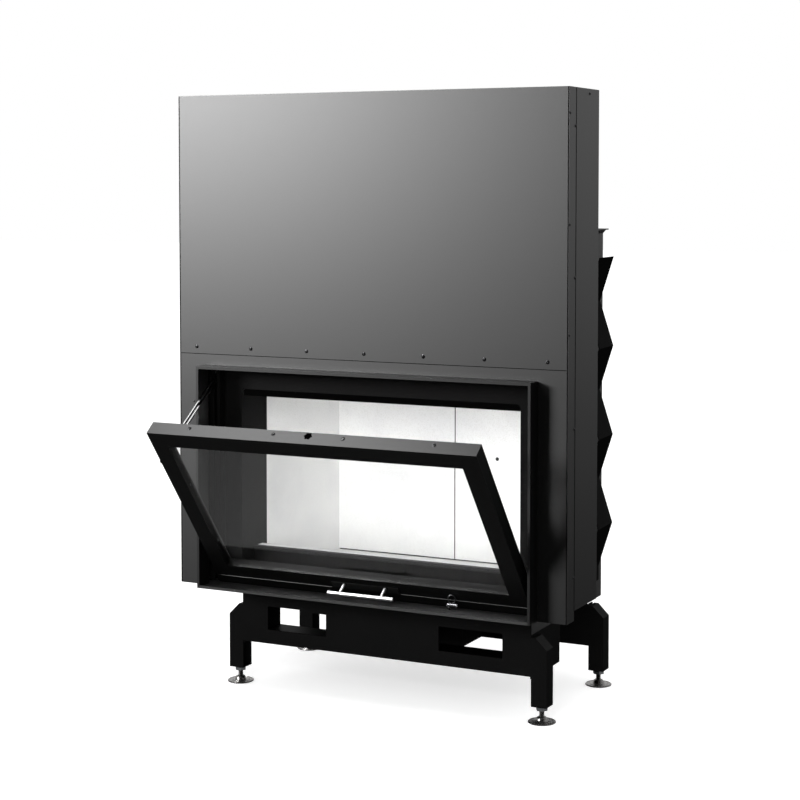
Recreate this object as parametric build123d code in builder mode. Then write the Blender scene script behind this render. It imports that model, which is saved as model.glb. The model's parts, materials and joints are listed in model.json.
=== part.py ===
"""Fireplace insert with a lift-and-tilt door: a steel firebox on a levelling stand, a shallow
casing that holds the door's lift, and a framed door that slides up and tilts forward.

Millimetres. X right, Y back, Z up, floor at z = 0. Depths are written from the casing's front
face, and FRONT_Y moves that face so that the object's bounding box is centred on the origin.
The model stands with the door let down and tilted open.
"""
import os
from math import cos, hypot, radians, sin

from build123d import *

# ---- driving sizes -------------------------------------------------------------------------
# casing
CASING_W = 996.0
CASING_TOP = 1425.0
SKIRT_GAP = 0.5             # the casing's foot over the surround's
CASING_D = 183.0
SHEET = 2.0                 # casing sheet
STRIP_D = 42.0              # folded edge strip at each front corner
STRIP_SEAM = 0.4
SIDE_BASE = 278.0           # the side panels end higher than the edge strips
COVER_GAP = 26.4            # from the surround to the seam of the upper cover plate
COVER_SEAM = 0.8
RETURN_D = 12.0             # folded returns behind the front
JOGGLE_LAP = 26.0           # the joggle's reach behind the cover plate
JOGGLE_INSET = 8.0
BACK_GAP = 39.0             # from the firebox top to the closed band of the casing's back
BACK_SIDE_W = 62.0

# surround of the door opening
SURROUND_SIDE = 71.0        # front plate beside the surround
SURROUND_HEAD = 10.8        # over the closed door
LEDGE_GAP = 0.5             # the surround's foot over the firebox's
SURROUND_OUT = 41.0         # how far it stands in front of the casing
SURROUND_WALL = 6.0
SURROUND_LAP = 13.0         # flange behind the front plate
LEDGE_T = 3.5
LEDGE_LIP_H = 6.5
LEDGE_LIP_T = 3.0
CUT_FIT = 0.4

# firebox
BODY_Y = 60.0               # front face of the frame plate
FRAME_T = 6.0
FRAME_SIDE = 2.5            # the frame plate beyond the door
FRAME_LAP = 4.0
EAR_W = 32.0
EAR_H = 38.0
MOUTH_SIDE = 43.5           # door frame beside and over the mouth
MOUTH_HEAD = 49.5
MOUTH_FOOT = 32.5           # the mouth's foot over the hinge axis
MOUTH_R = 10.0
BODY_SPLAY = 28.0           # each side draws in by this toward the rear
BODY_REAR = 547.0
BODY_BASE = 255.0           # underside in front of the stand
BODY_FOOT = 200.0           # underside over the stand
BODY_TOP = 1096.0
BODY_WALL = 4.0
HEARTH_RISE = 37.0          # plate under the bricks
HEARTH_T = 4.0
THROAT_REAR = 178.0
THROAT_T = 3.0
ASH_LIP_H = 30.0
ASH_LIP_RISE = 25.0         # over the mouth's foot
ASH_LIP_FRONT = 118.0
ASH_LIP_REAR = 133.0
WASH_H = 16.0               # part of the air-wash strip that hangs below the mouth's top
WASH_SIDE = 3.0
WASH_LAP = 15.0
BRICK_T = 27.0
BRICK_PLAY = 2.0
BRICK_SEAM_X = 122.0        # seams either side of the middle brick
CURB_T = 22.0               # brick on edge behind the ash lip
LINING_T = 24.0
LINING_RISE = 45.0          # over the mouth's head
LINING_GAP = 47.0           # from the back lining to the body's rear
LINING_SPLAY = 29.0
LINING_JOINT = 1.5
BAFFLE_T = 25.0
BAFFLE_D = 250.0
LIP_R = 6.0                 # leaning lip of the top plate
LIP_H = 8.5
LIP_EDGE = 5.0              # the flat edge it ends in
TOP_T = 3.0
FLANGE_FRONT = 150.0
DOME_SIDE = 76.0
DOME_GAP = 12.0             # from the casing to the dome
DOME_H = 234.0
DOME_T = 3.0
DOME_NECK = 12.0
FLUE_R = 100.5              # inside of the flue collar
FLUE_T = 3.0
FLUE_REACH = 125.0
FLUE_H = 85.0

# zig-zag fins on the firebox sides
FIN_D = 113.0
FIN_GAP = 29.0
FIN_OUT = 34.0              # from the wall to a ridge
FIN_DROP = 55.0
FIN_FOOT = 281.5
FIN_T = 2.5
FIN_COUNT = 4               # ridges
FIN_TAB = 36.0

# stand
STAND_SIDE = 26.0           # from the body's front corner to the stand plates
STAND_SPREAD = 5.0          # the rear plate is wider
STAND_FRONT_BASE = 106.0
STAND_SIDE_BASE = 100.0
STAND_REAR_BASE = 98.0
STAND_T = 3.0
STAND_FRONT_Y = 87.0
BEAM_GAP = 29.0
STAND_REAR_GAP = 106.0
STAND_REAR_LAP = 34.0
STAND_REAR_LAP_IN = 128.0
STAND_RETURN = 29.0
WINDOW_W = 160.0
WINDOW_SIDE = 70.0
WINDOW_Z0 = 140.0
WINDOW_Z1 = 197.0
BEAM_BASE = 153.0
AIR_BOX_HALF = 115.0
AIR_BOX_D = 115.0
AIR_BOX_T = 2.0
SPIGOT_R = 48.5             # inside of the outside-air spigot
SPIGOT_T = 1.5
SPIGOT_L = 36.0

# legs and feet
LEG_W = 38.0
LEG_D = 40.0
LEG_BASE = 38.0
LEG_GAP = 4.0
LEG_T = 3.0
LEG_CHAMFER = 27.0
FOOT_R = 32.0
FOOT_T = 4.0
FOOT_HUB_R = 12.0
FOOT_HUB_TOP = 14.0
STEM_R = 6.0
STEM_TOP = 78.0
STEM_FIT = 0.06
NUT_ACROSS = 24.0
NUT_H = 10.0

# door
SEAL_GAP = 0.6              # between the rope seal and the frame plate
HINGE_ROOM = 20.5           # over the ledge
TILT = 38.1                 # degrees that the door stands forward
DOOR_SIDE = 15.5            # room beside the door
DOOR_FRONT = 20.0           # faces, counted from the hinge axis
DOOR_BACK = 15.0
DOOR_TOP = 495.0
DOOR_FOOT = 9.0
FRAME_BAR = 41.5
REBATE = 11.0
DOOR_WALL = 3.0
GLASS_V0 = 54.0
GLASS_BAR = 41.0            # top bar of the frame
GLASS_T = 4.0
GLASS_FACE = 12.0
GLASS_PLAY = 0.5
RAIL_V0 = -6.0
RAIL_V1 = 19.5
RAIL_OUT = 3.0
SEAL_SIDE = 16.5
SEAL_W = 14.0
SEAL_R = 21.0
SEAL_T = 3.4
SEAL_V0 = 12.0
SEAL_HEAD = 23.0
HINGE_R = 5.0
RUN_FIT = 0.05
WASHER_R = 8.5
WASHER_T = 1.0
HANDLE_PLATE_OVER = 1.0
HANDLE_PLATE_H = 17.5
HANDLE_PLATE_T = 3.0
HANDLE_POST_IN = 32.0
HANDLE_POST_R = 4.0
HANDLE_POST_L = 28.0
HANDLE_R = 5.0
HANDLE_EDGE = 1.25
HANDLE_L = 170.0
HANDLE_V = 33.0

# lift
POST_PLAY = 2.0             # between the door and the carriage posts
POST_T = 7.0
POST_SET = 8.0
POST_D = 24.0
POST_FOOT = 17.5
CROSS_GAP = 9.5
CROSS_H = 16.0
LUG_H = 12.0
ROLLER_R = 11.5
ROLLER_W = 12.0
AXLE_R = 4.0
ROLLER_FOOT = 38.0
ROLLER_HEAD = 28.0
RAIL_ROOM = 1.5
RAIL_W = 20.0
RAIL_T = 2.0
RAIL_PLAY = 0.5
RAIL_END = 15.0
TAB_H = 34.0
TAB_FOOT = 7.0
TAB_END = 85.0
TAB_COUNT = 3
SHAFT_DROP = 80.0
SHAFT_R = 8.0
SHAFT_END = 14.0
SPROCKET_R = 30.0
SPROCKET_W = 10.0
SPROCKET_TEETH = 16
TOOTH_H = 2.5
CHAIN_W = 5.0
CHAIN_T = 6.0
CHAIN_PLAY = 0.5
BEARING_ROOM = 2.0
BEARING_T = 4.0
BEARING_HALF = 22.0
WEIGHT_W = 54.0
WEIGHT_D = 56.0
WEIGHT_H = 330.0
WEIGHT_DROP = 105.0
WEIGHT_EDGE = 3.0

# stay arm of the tilted door
STAY_SET = 18.0
STAY_HEAD = 29.5
STAY_DOOR_DROP = 109.0
STAY_ROOM = 3.0
STAY_T = 3.0
STAY_W = 15.0
STAY_SLOT = 6.0
STAY_PIN_R = 4.0
STAY_PLAY = 0.5
STAY_HEAD_R = 6.0
STAY_HEAD_T = 1.5
STAY_TIP_R = 3.0
STAY_TIP_GAP = 1.0
STAY_BRACKET_T = 3.0
STAY_BRACKET_HALF = 12.0
STAY_BRACKET_FRONT = 10.0
STAY_HOLE_DEPTH = 8.0

# air lever
KNOB_R = 4.5
KNOB_X0 = 209.0
KNOB_L = 25.0
KNOB_NUB = 1.5
KNOB_Y = 5.0
KNOB_RISE = 12.0            # over the ledge
KNOB_BOSS_R = 3.5
KNOB_BOSS_RISE = 5.0
LEVER_R = 2.5
LEVER_TRAVEL = 20.0
LEVER_DROP = 7.5
LEVER_T = 3.0
LEVER_W = 12.0
REGISTER_HALF = 50.0
REGISTER_Y0 = 62.0
REGISTER_PLAY = 2.5
REGISTER_SLOTS = 3
REGISTER_STEP = 30.0
REGISTER_SLOT_W = 16.0
REGISTER_SLOT_D = 9.0
REGISTER_GAP = 0.5

# ---- worked-out places ---------------------------------------------------------------------
COS = cos(radians(TILT))
SIN = sin(radians(TILT))

# across
HALF_W = CASING_W / 2
INNER_W = HALF_W - SHEET
SURROUND_HALF = HALF_W - SURROUND_SIDE
SURROUND_IN = SURROUND_HALF - SURROUND_WALL
DOOR_HALF = SURROUND_IN - DOOR_SIDE
SEAL_HALF = DOOR_HALF - SEAL_SIDE
MOUTH_HALF = DOOR_HALF - MOUTH_SIDE
FRAME_HALF = DOOR_HALF + FRAME_SIDE
POST_X = DOOR_HALF + POST_PLAY
CHAIN_X = POST_X + POST_T / 2
STAY_X = POST_X + POST_T + STAY_ROOM
RAIL_X = STAY_X + STAY_T + RAIL_ROOM
BEARING_X = RAIL_X + RAIL_W + BEARING_ROOM
SHAFT_HALF = BEARING_X + BEARING_T + SHAFT_END
BODY_HALF_FRONT = FRAME_HALF - FRAME_LAP
LINING_REAR_HALF = MOUTH_HALF - LINING_SPLAY
BODY_HALF_REAR = BODY_HALF_FRONT - BODY_SPLAY
DOME_HALF_W = BODY_HALF_REAR - DOME_SIDE
STAND_HALF = BODY_HALF_FRONT - STAND_SIDE
STAND_INNER = STAND_HALF - STAND_T
STAND_REAR_HALF = STAND_HALF + STAND_SPREAD
STAND_REAR_LAP_HALF = STAND_HALF - STAND_REAR_LAP_IN
WINDOW_X1 = STAND_HALF - WINDOW_SIDE
WINDOW_X0 = WINDOW_X1 - WINDOW_W
LEVER_X = KNOB_X0 + KNOB_BOSS_R + KNOB_NUB
HANDLE_POST_X = HANDLE_L / 2 - HANDLE_POST_IN

# in depth
HINGE_Y = BODY_Y - DOOR_BACK - SEAL_T - SEAL_GAP
DOOR_FRONT_TOP = HINGE_Y - (DOOR_FRONT * COS + DOOR_TOP * SIN)
REAR_MOST = BODY_REAR + LIP_R + LIP_EDGE
FRONT_Y = -(DOOR_FRONT_TOP + REAR_MOST) / 2
FRAME_BACK = BODY_Y + FRAME_T
WALL_SLOPE = BODY_SPLAY / (BODY_REAR - FRAME_BACK)
LINING_REAR_Y = BODY_REAR - LINING_GAP
BAFFLE_FRONT = LINING_REAR_Y - BAFFLE_D
DOME_Y0 = CASING_D + DOME_GAP
FLUE_Y = DOME_Y0 + FLUE_REACH
FIN_Y1 = BODY_REAR - FIN_GAP
FIN_Y0 = FIN_Y1 - FIN_D
STAND_SEAT = STAND_FRONT_Y + STAND_T
STAND_REAR_Y = BODY_REAR - STAND_REAR_GAP
AIR_BOX_Y1 = STAND_REAR_Y - STAND_REAR_LAP
AIR_BOX_Y0 = AIR_BOX_Y1 - AIR_BOX_D
STAND_FLANGE_REAR = AIR_BOX_Y0 - BEAM_GAP
LEG_SEATS = {"front": (STAND_HALF, STAND_FRONT_Y), "rear": (STAND_REAR_HALF, STAND_REAR_Y)}
POST_FRONT = HINGE_Y - POST_SET
ROLLER_Y = BODY_Y - RAIL_T - RAIL_PLAY - ROLLER_R
CHAIN_R = SPROCKET_R + CHAIN_PLAY
SHAFT_Y = ROLLER_Y + CHAIN_R + CHAIN_T / 2
CHAIN_REAR_Y = SHAFT_Y + CHAIN_R + CHAIN_T / 2
STAY_Y = ROLLER_Y - STAY_SET
REGISTER_Y1 = STAND_FRONT_Y - REGISTER_PLAY

# in height
SURROUND_BASE = BODY_BASE + LEDGE_GAP
CASING_BASE = SURROUND_BASE + SKIRT_GAP
LEDGE_TOP = SURROUND_BASE + LEDGE_T
HINGE_Z = LEDGE_TOP + HINGE_ROOM
DOOR_HEAD_Z = HINGE_Z + DOOR_TOP
SURROUND_TOP = DOOR_HEAD_Z + SURROUND_HEAD
COVER_Z = SURROUND_TOP + COVER_GAP
MOUTH_Z0 = HINGE_Z + MOUTH_FOOT
MOUTH_Z1 = DOOR_HEAD_Z - MOUTH_HEAD
LINING_TOP = MOUTH_Z1 + LINING_RISE
HEARTH_TOP = BODY_FOOT + HEARTH_RISE
BRICK_TOP = HEARTH_TOP + BRICK_T
ASH_LIP_TOP = MOUTH_Z0 + ASH_LIP_RISE
DOME_TOP = BODY_TOP + DOME_H
FLUE_TOP = DOME_TOP + FLUE_H
FIN_TOP = BODY_TOP - FIN_DROP
FIN_PITCH = (FIN_TOP - FIN_FOOT) / (FIN_COUNT - 0.5)
LEG_TOP = BODY_FOOT - LEG_GAP
POST_BASE = HINGE_Z - POST_FOOT
CROSS_BASE = DOOR_HEAD_Z + CROSS_GAP
CROSS_TOP = CROSS_BASE + CROSS_H
SHAFT_Z = CASING_TOP - SHAFT_DROP
RAIL_TOP = SHAFT_Z - RAIL_END
WEIGHT_TOP = SHAFT_Z - WEIGHT_DROP
TAB_LOW = SIDE_BASE + TAB_FOOT
TAB_STEP = (RAIL_TOP - TAB_END - TAB_LOW) / (TAB_COUNT - 1)
KNOB_Z = LEDGE_TOP + KNOB_RISE
KNOB_BOSS_Z = LEDGE_TOP + KNOB_BOSS_RISE
LEVER_Z = SURROUND_BASE - LEVER_DROP

# up the door
GLASS_V1 = DOOR_TOP - GLASS_BAR
SEAL_V1 = DOOR_TOP - SEAL_HEAD
STAY_DOOR_V = DOOR_TOP - STAY_DOOR_DROP
STAY_Z = DOOR_HEAD_Z - STAY_HEAD
STAY_DROP = STAY_Z - (HINGE_Z + STAY_DOOR_V * COS)
STAY_REACH = STAY_Y - (HINGE_Y - STAY_DOOR_V * SIN)
STAY_L = hypot(STAY_DROP, STAY_REACH)

DOOR = Plane(
    origin=(0, HINGE_Y + FRONT_Y, HINGE_Z), x_dir=(1, 0, 0), z_dir=(0, -COS, -SIN)
)
SIDES = {"left": -1, "right": 1}

os.makedirs("parts", exist_ok=True)


# ---- small builders ------------------------------------------------------------------------
def body_half(y):
    """Half width of the firebox body at a depth y: the sides draw in toward the rear."""
    return BODY_HALF_FRONT - (y - FRAME_BACK) * WALL_SLOPE


def fill(size, centre, radius=0.0):
    """A centred rectangle of the open sketch, with round corners when a radius is given."""
    with Locations(centre):
        if radius:
            RectangleRounded(size[0], size[1], radius)
        else:
            Rectangle(size[0], size[1])


def middle(limits):
    return (limits[0] + limits[1]) / 2


def span(limits):
    return limits[1] - limits[0]


def inset(limits, amount):
    return (limits[0] + amount, limits[1] - amount)


def slab(x, y, z, mode=Mode.ADD):
    """A flat piece between pairs of limits, raised from its plan."""
    with BuildSketch(Plane.XY.offset(z[0])) as profile:
        fill((span(x), span(y)), (middle(x), middle(y) + FRONT_Y))
    extrude(profile.sketch, amount=span(z), mode=mode)


def board(x, z, y, radius=0.0, mode=Mode.ADD):
    """An upright piece seen from the front, as thick as its pair of depths."""
    with BuildSketch(Plane.XZ.offset(-(y[1] + FRONT_Y))) as profile:
        fill((span(x), span(z)), (middle(x), middle(z)), radius)
    extrude(profile.sketch, amount=span(y), mode=mode)


def leaf(x, v, u, radius=0.0, mode=Mode.ADD):
    """A piece of the door: across x, up v, from depth to depth in front of the hinge axis."""
    with BuildSketch(DOOR.offset(u[0])) as profile:
        fill((span(x), span(v)), (middle(x), middle(v)), radius)
    extrude(profile.sketch, amount=span(u), mode=mode)


def rod(x, y, z, radius, mode=Mode.ADD):
    """A round piece along X."""
    with BuildSketch(Plane.YZ.offset(x[0])) as profile:
        with Locations((y + FRONT_Y, z)):
            Circle(radius)
    extrude(profile.sketch, amount=span(x), mode=mode)


def post(x, y, z, radius, mode=Mode.ADD):
    """A round piece along Z."""
    with BuildSketch(Plane.XY.offset(z[0])) as profile:
        with Locations((x, y + FRONT_Y)):
            Circle(radius)
    extrude(profile.sketch, amount=span(z), mode=mode)


def plan(points, z, mode=Mode.ADD):
    """A piece raised from a straight-sided plan."""
    with BuildSketch(Plane.XY.offset(z[0])) as profile:
        with BuildLine():
            Polyline(*[(x, y + FRONT_Y) for x, y in points], close=True)
        make_face()
    extrude(profile.sketch, amount=span(z), mode=mode)


def flare(low, high, z, mode=Mode.ADD):
    """A piece lofted between two straight-sided plans."""
    sections = []
    for points, level in zip((low, high), z):
        with BuildSketch(Plane.XY.offset(level)) as profile:
            with BuildLine():
                Polyline(*[(x, y + FRONT_Y) for x, y in points], close=True)
            make_face()
        sections.append(profile.sketch)
    loft(sections, mode=mode)


def outward(side, near, far):
    """Limits along X on one side of the middle plane, in rising order."""
    return tuple(sorted((side * near, side * far)))


def finish(builder, name):
    builder.part.label = name
    export_step(builder.part, f"parts/{name}.step")


# ---- casing --------------------------------------------------------------------------------
# Lower front plate, cut out for the surround and joggled behind the upper cover plate.
with BuildPart() as front_plate:
    top = COVER_Z - COVER_SEAM / 2
    board((-INNER_W, INNER_W), (CASING_BASE, top), (0, SHEET))
    cut_half = SURROUND_HALF + CUT_FIT
    board((-cut_half, cut_half), (CASING_BASE, SURROUND_TOP + CUT_FIT), (0, SHEET), mode=Mode.SUBTRACT)
    for side in SIDES.values():
        slab(outward(side, INNER_W - SHEET, INNER_W), (SHEET, SHEET + RETURN_D), (CASING_BASE, top))
    joggle_z = (SURROUND_TOP + SURROUND_LAP + SHEET, COVER_Z + JOGGLE_LAP)
    board(inset((-INNER_W, INNER_W), JOGGLE_INSET), joggle_z, (SHEET, 2 * SHEET))
finish(front_plate, "front_plate")

# Upper cover plate, taken off to reach the lift.
with BuildPart() as cover_plate:
    foot = COVER_Z + COVER_SEAM / 2
    board((-INNER_W, INNER_W), (foot, CASING_TOP), (0, SHEET))
    for side in SIDES.values():
        slab(
            outward(side, INNER_W - SHEET, INNER_W),
            (SHEET, SHEET + RETURN_D),
            (COVER_Z + JOGGLE_LAP + RETURN_D, CASING_TOP - SHEET),
        )
finish(cover_plate, "cover_plate")

for name, side in SIDES.items():
    # Narrow edge strip at the front corner and the side panel behind it.
    with BuildPart() as strip:
        slab(outward(side, INNER_W, HALF_W), (0, STRIP_D), (CASING_BASE, CASING_TOP))
    finish(strip, f"strip_{name}")

    with BuildPart() as side_panel:
        panel_y = (STRIP_D + STRIP_SEAM, CASING_D)
        slab(outward(side, INNER_W, HALF_W), panel_y, (SIDE_BASE, CASING_TOP))
    finish(side_panel, f"side_{name}")

with BuildPart() as casing_top:
    top_z = (CASING_TOP - SHEET, CASING_TOP)
    slab((-INNER_W, INNER_W), (SHEET, CASING_D - SHEET), top_z)
    for side in SIDES.values():
        slab(
            outward(side, INNER_W - SHEET, INNER_W),
            (STRIP_D + RETURN_D, CASING_D - SHEET),
            (CASING_TOP - SHEET - RETURN_D, CASING_TOP - SHEET),
        )
finish(casing_top, "casing_top")

# Back of the casing: a band above the firebox and a leg down each side of it.
with BuildPart() as casing_back:
    board((-INNER_W, INNER_W), (SIDE_BASE, CASING_TOP), (CASING_D - SHEET, CASING_D))
    gap_half = INNER_W - BACK_SIDE_W
    board(
        (-gap_half, gap_half),
        (SIDE_BASE, BODY_TOP + BACK_GAP),
        (CASING_D - SHEET, CASING_D),
        mode=Mode.SUBTRACT,
    )
finish(casing_back, "casing_back")

# ---- surround ------------------------------------------------------------------------------
with BuildPart() as surround:
    out_y = (-SURROUND_OUT, SHEET)
    board((-SURROUND_HALF, SURROUND_HALF), (SURROUND_BASE, SURROUND_TOP), out_y)
    inner_z = (SURROUND_BASE, SURROUND_TOP - SURROUND_WALL)
    board((-SURROUND_IN, SURROUND_IN), inner_z, out_y, mode=Mode.SUBTRACT)
    lap_y = (SHEET, 2 * SHEET)
    lap_half = SURROUND_HALF + SURROUND_LAP
    board((-lap_half, lap_half), (CASING_BASE, SURROUND_TOP + SURROUND_LAP), lap_y)
    board((-SURROUND_IN, SURROUND_IN), (CASING_BASE, inner_z[1]), lap_y, mode=Mode.SUBTRACT)
finish(surround, "surround")

# Ledge under the door, wider behind the surround, with a front lip and a slot for the lever.
with BuildPart() as ledge:
    ledge_x = (-SURROUND_IN, SURROUND_IN)
    slab(ledge_x, (-SURROUND_OUT, BODY_Y), (SURROUND_BASE, LEDGE_TOP))
    wing_x = (-RAIL_X - RAIL_W, RAIL_X + RAIL_W)
    slab(wing_x, (2 * SHEET + CUT_FIT, BODY_Y), (SURROUND_BASE, LEDGE_TOP))
    lip_y = (-SURROUND_OUT, -SURROUND_OUT + LEDGE_LIP_T)
    slab(ledge_x, lip_y, (LEDGE_TOP, SURROUND_BASE + LEDGE_LIP_H))
    with BuildSketch(Plane.XY.offset(SURROUND_BASE)):
        with Locations((LEVER_X, KNOB_Y + FRONT_Y)):
            SlotCenterToCenter(2 * LEVER_TRAVEL + 2 * CUT_FIT, 2 * (LEVER_R + CUT_FIT))
    extrude(amount=LEDGE_T, mode=Mode.SUBTRACT)
finish(ledge, "ledge")

# ---- firebox -------------------------------------------------------------------------------
with BuildPart() as frame_plate:
    frame_y = (BODY_Y, FRAME_BACK)
    board((-FRAME_HALF, FRAME_HALF), (BODY_BASE, BODY_TOP), frame_y)
    mouth_x = (-MOUTH_HALF, MOUTH_HALF)
    board(mouth_x, (MOUTH_Z0, MOUTH_Z1), frame_y, MOUTH_R, mode=Mode.SUBTRACT)
    ear_low = (POST_BASE, POST_BASE + EAR_H)
    ear_high = (BODY_TOP - 2 * EAR_H, BODY_TOP - EAR_H)
    for side in SIDES.values():
        for ear_z in (ear_low, ear_high):
            board(outward(side, FRAME_HALF, FRAME_HALF + EAR_W), ear_z, frame_y)
finish(frame_plate, "frame_plate")

with BuildPart() as air_wash_strip:
    wash_half = MOUTH_HALF - WASH_SIDE
    wash_z = (MOUTH_Z1 - WASH_H, MOUTH_Z1 + WASH_LAP)
    board((-wash_half, wash_half), wash_z, (FRAME_BACK, FRAME_BACK + THROAT_T))
finish(air_wash_strip, "air_wash_strip")

# Throat between the mouth and the lining: two cheeks, joined by the plate that holds the bricks
# back and by the ash lip folded over in front of it, which leaves an air slot along its foot.
with BuildPart() as throat_liner:
    for side in SIDES.values():
        cheek_x = outward(side, MOUTH_HALF, MOUTH_HALF + THROAT_T)
        slab(cheek_x, (FRAME_BACK, THROAT_REAR), (BRICK_TOP, LINING_TOP))
    board(mouth_x, (HEARTH_TOP, ASH_LIP_TOP), (ASH_LIP_REAR - THROAT_T, ASH_LIP_REAR))
    board(mouth_x, (ASH_LIP_TOP - ASH_LIP_H, ASH_LIP_TOP), (ASH_LIP_FRONT, ASH_LIP_FRONT + THROAT_T))
    slab(mouth_x, (ASH_LIP_FRONT, ASH_LIP_REAR), (ASH_LIP_TOP - THROAT_T, ASH_LIP_TOP))
finish(throat_liner, "throat_liner")


def body_outline(front, wall):
    """Plan of the firebox body behind a given depth, drawn in by a wall thickness."""
    rear = BODY_REAR - wall
    wide = body_half(front) - wall
    narrow = body_half(rear) - wall
    return [(-wide, front), (wide, front), (narrow, rear), (-narrow, rear)]


# Welded body: splayed sides and back, over a straight-sided well that sits on the stand.
with BuildPart() as firebox_body:
    plan(body_outline(FRAME_BACK, 0), (BODY_BASE, BODY_TOP))
    well_x = (-BODY_HALF_REAR, BODY_HALF_REAR)
    slab(well_x, (STAND_SEAT, BODY_REAR), (BODY_FOOT, BODY_BASE))
    plan(body_outline(FRAME_BACK, BODY_WALL), (BODY_BASE + BODY_WALL, BODY_TOP), Mode.SUBTRACT)
    well_in_x = inset(well_x, BODY_WALL)
    well_in_y = (STAND_SEAT + BODY_WALL, BODY_REAR - BODY_WALL)
    well_z = (BODY_FOOT + BODY_WALL, BODY_BASE + BODY_WALL)
    slab(well_in_x, well_in_y, well_z, Mode.SUBTRACT)
    with BuildSketch(Plane.XY.offset(BODY_BASE)):
        with Locations((LEVER_X, middle((FRAME_BACK, REGISTER_Y1)) + FRONT_Y)):
            with GridLocations(REGISTER_STEP, 1, REGISTER_SLOTS, 1):
                Rectangle(REGISTER_SLOT_W, REGISTER_SLOT_D)
    extrude(amount=BODY_WALL, mode=Mode.SUBTRACT)
    post(0, middle((AIR_BOX_Y0, AIR_BOX_Y1)), (BODY_FOOT, well_z[0]), SPIGOT_R, Mode.SUBTRACT)
finish(firebox_body, "firebox_body")

# Plate that carries the bricks over the air space, open along its front.
with BuildPart() as hearth_plate:
    hearth_y = (ASH_LIP_REAR - THROAT_T, well_in_y[1])
    slab(well_in_x, hearth_y, (HEARTH_TOP - HEARTH_T, HEARTH_TOP))
finish(hearth_plate, "hearth_plate")


def lining_half(y):
    """Half width between the side linings, which splay from the throat to the back."""
    share = (y - THROAT_REAR) / (LINING_REAR_Y - THROAT_REAR)
    return MOUTH_HALF + (LINING_REAR_HALF - MOUTH_HALF) * share


# Floor of three bricks that the linings stand on, and a curb brick behind the ash lip.
with BuildPart() as floor_bricks:
    curb_y = (ASH_LIP_REAR, ASH_LIP_REAR + CURB_T)
    slab(mouth_x, curb_y, (HEARTH_TOP, ASH_LIP_TOP))
    floor_half = well_in_x[1] - BRICK_PLAY
    floor_y = (curb_y[1], well_in_y[1] - BRICK_PLAY)
    slab((-floor_half, floor_half), floor_y, (HEARTH_TOP, BRICK_TOP))
    for side in SIDES.values():
        seam_x = (side * BRICK_SEAM_X - LINING_JOINT / 2, side * BRICK_SEAM_X + LINING_JOINT / 2)
        slab(seam_x, floor_y, (HEARTH_TOP, BRICK_TOP), Mode.SUBTRACT)
finish(floor_bricks, "floor_bricks")

for name, side in SIDES.items():
    with BuildPart() as lining:
        corners = [
            (side * MOUTH_HALF, THROAT_REAR),
            (side * LINING_REAR_HALF, LINING_REAR_Y),
            (side * (LINING_REAR_HALF + LINING_T), LINING_REAR_Y),
            (side * (MOUTH_HALF + LINING_T), THROAT_REAR),
        ]
        plan(corners, (BRICK_TOP, LINING_TOP))
    finish(lining, f"lining_{name}")

    with BuildPart() as back_lining:
        back_x = outward(side, LINING_JOINT / 2, LINING_REAR_HALF + LINING_T)
        slab(back_x, (LINING_REAR_Y, LINING_REAR_Y + LINING_T), (BRICK_TOP, LINING_TOP + BAFFLE_T))
    finish(back_lining, f"back_lining_{name}")

with BuildPart() as baffle:
    halves = [lining_half(y) + LINING_T / 2 for y in (BAFFLE_FRONT, LINING_REAR_Y)]
    corners = [
        (-halves[0], BAFFLE_FRONT),
        (halves[0], BAFFLE_FRONT),
        (halves[1], LINING_REAR_Y),
        (-halves[1], LINING_REAR_Y),
    ]
    plan(corners, (LINING_TOP, LINING_TOP + BAFFLE_T))
finish(baffle, "baffle")


# Top plate, with a lip that leans out round the sides and rear and ends in a flat edge.
with BuildPart() as top_plate:
    plate_z = (BODY_TOP, BODY_TOP + TOP_T)
    plan(body_outline(BODY_Y, 0), plate_z)
    lip_z = (BODY_TOP, BODY_TOP + LIP_H)
    flare(body_outline(FLANGE_FRONT, 0), body_outline(FLANGE_FRONT, -LIP_R), lip_z)
    cut_front = FLANGE_FRONT - TOP_T
    cut_low = body_outline(cut_front, TOP_T - LIP_R * TOP_T / LIP_H)
    cut_high = body_outline(cut_front, TOP_T - LIP_R)
    flare(cut_low, cut_high, (plate_z[1], lip_z[1]), Mode.SUBTRACT)
    edge_z = (lip_z[1], lip_z[1] + TOP_T)
    plan(body_outline(FLANGE_FRONT, -LIP_R - LIP_EDGE), edge_z)
    plan(cut_high, edge_z, Mode.SUBTRACT)
    slab(
        (-DOME_HALF_W + DOME_T, DOME_HALF_W - DOME_T),
        (DOME_Y0 + DOME_T, LINING_REAR_Y - DOME_T),
        plate_z,
        Mode.SUBTRACT,
    )
finish(top_plate, "top_plate")


# Folded dome that gathers the smoke from the top plate, closed by a square that takes the flue.
with BuildPart() as smoke_dome:
    for skin, mode in ((0, Mode.ADD), (DOME_T, Mode.SUBTRACT)):
        with BuildSketch(Plane.XY.offset(BODY_TOP + TOP_T)):
            dome_size = (2 * (DOME_HALF_W - skin), LINING_REAR_Y - DOME_Y0 - 2 * skin)
            with Locations((0, middle((DOME_Y0, LINING_REAR_Y)) + FRONT_Y)):
                Rectangle(*dome_size)
        with BuildSketch(Plane.XY.offset(DOME_TOP - DOME_T)):
            neck = 2 * (FLUE_R + DOME_NECK - skin)
            with Locations((0, FLUE_Y + FRONT_Y)):
                Rectangle(neck, neck)
        loft(mode=mode)
    neck_half = FLUE_R + DOME_NECK
    neck_y = (FLUE_Y - neck_half, FLUE_Y + neck_half)
    slab((-neck_half, neck_half), neck_y, (DOME_TOP - DOME_T, DOME_TOP))
    post(0, FLUE_Y, (DOME_TOP - DOME_T, DOME_TOP), FLUE_R, Mode.SUBTRACT)
finish(smoke_dome, "smoke_dome")

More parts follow.
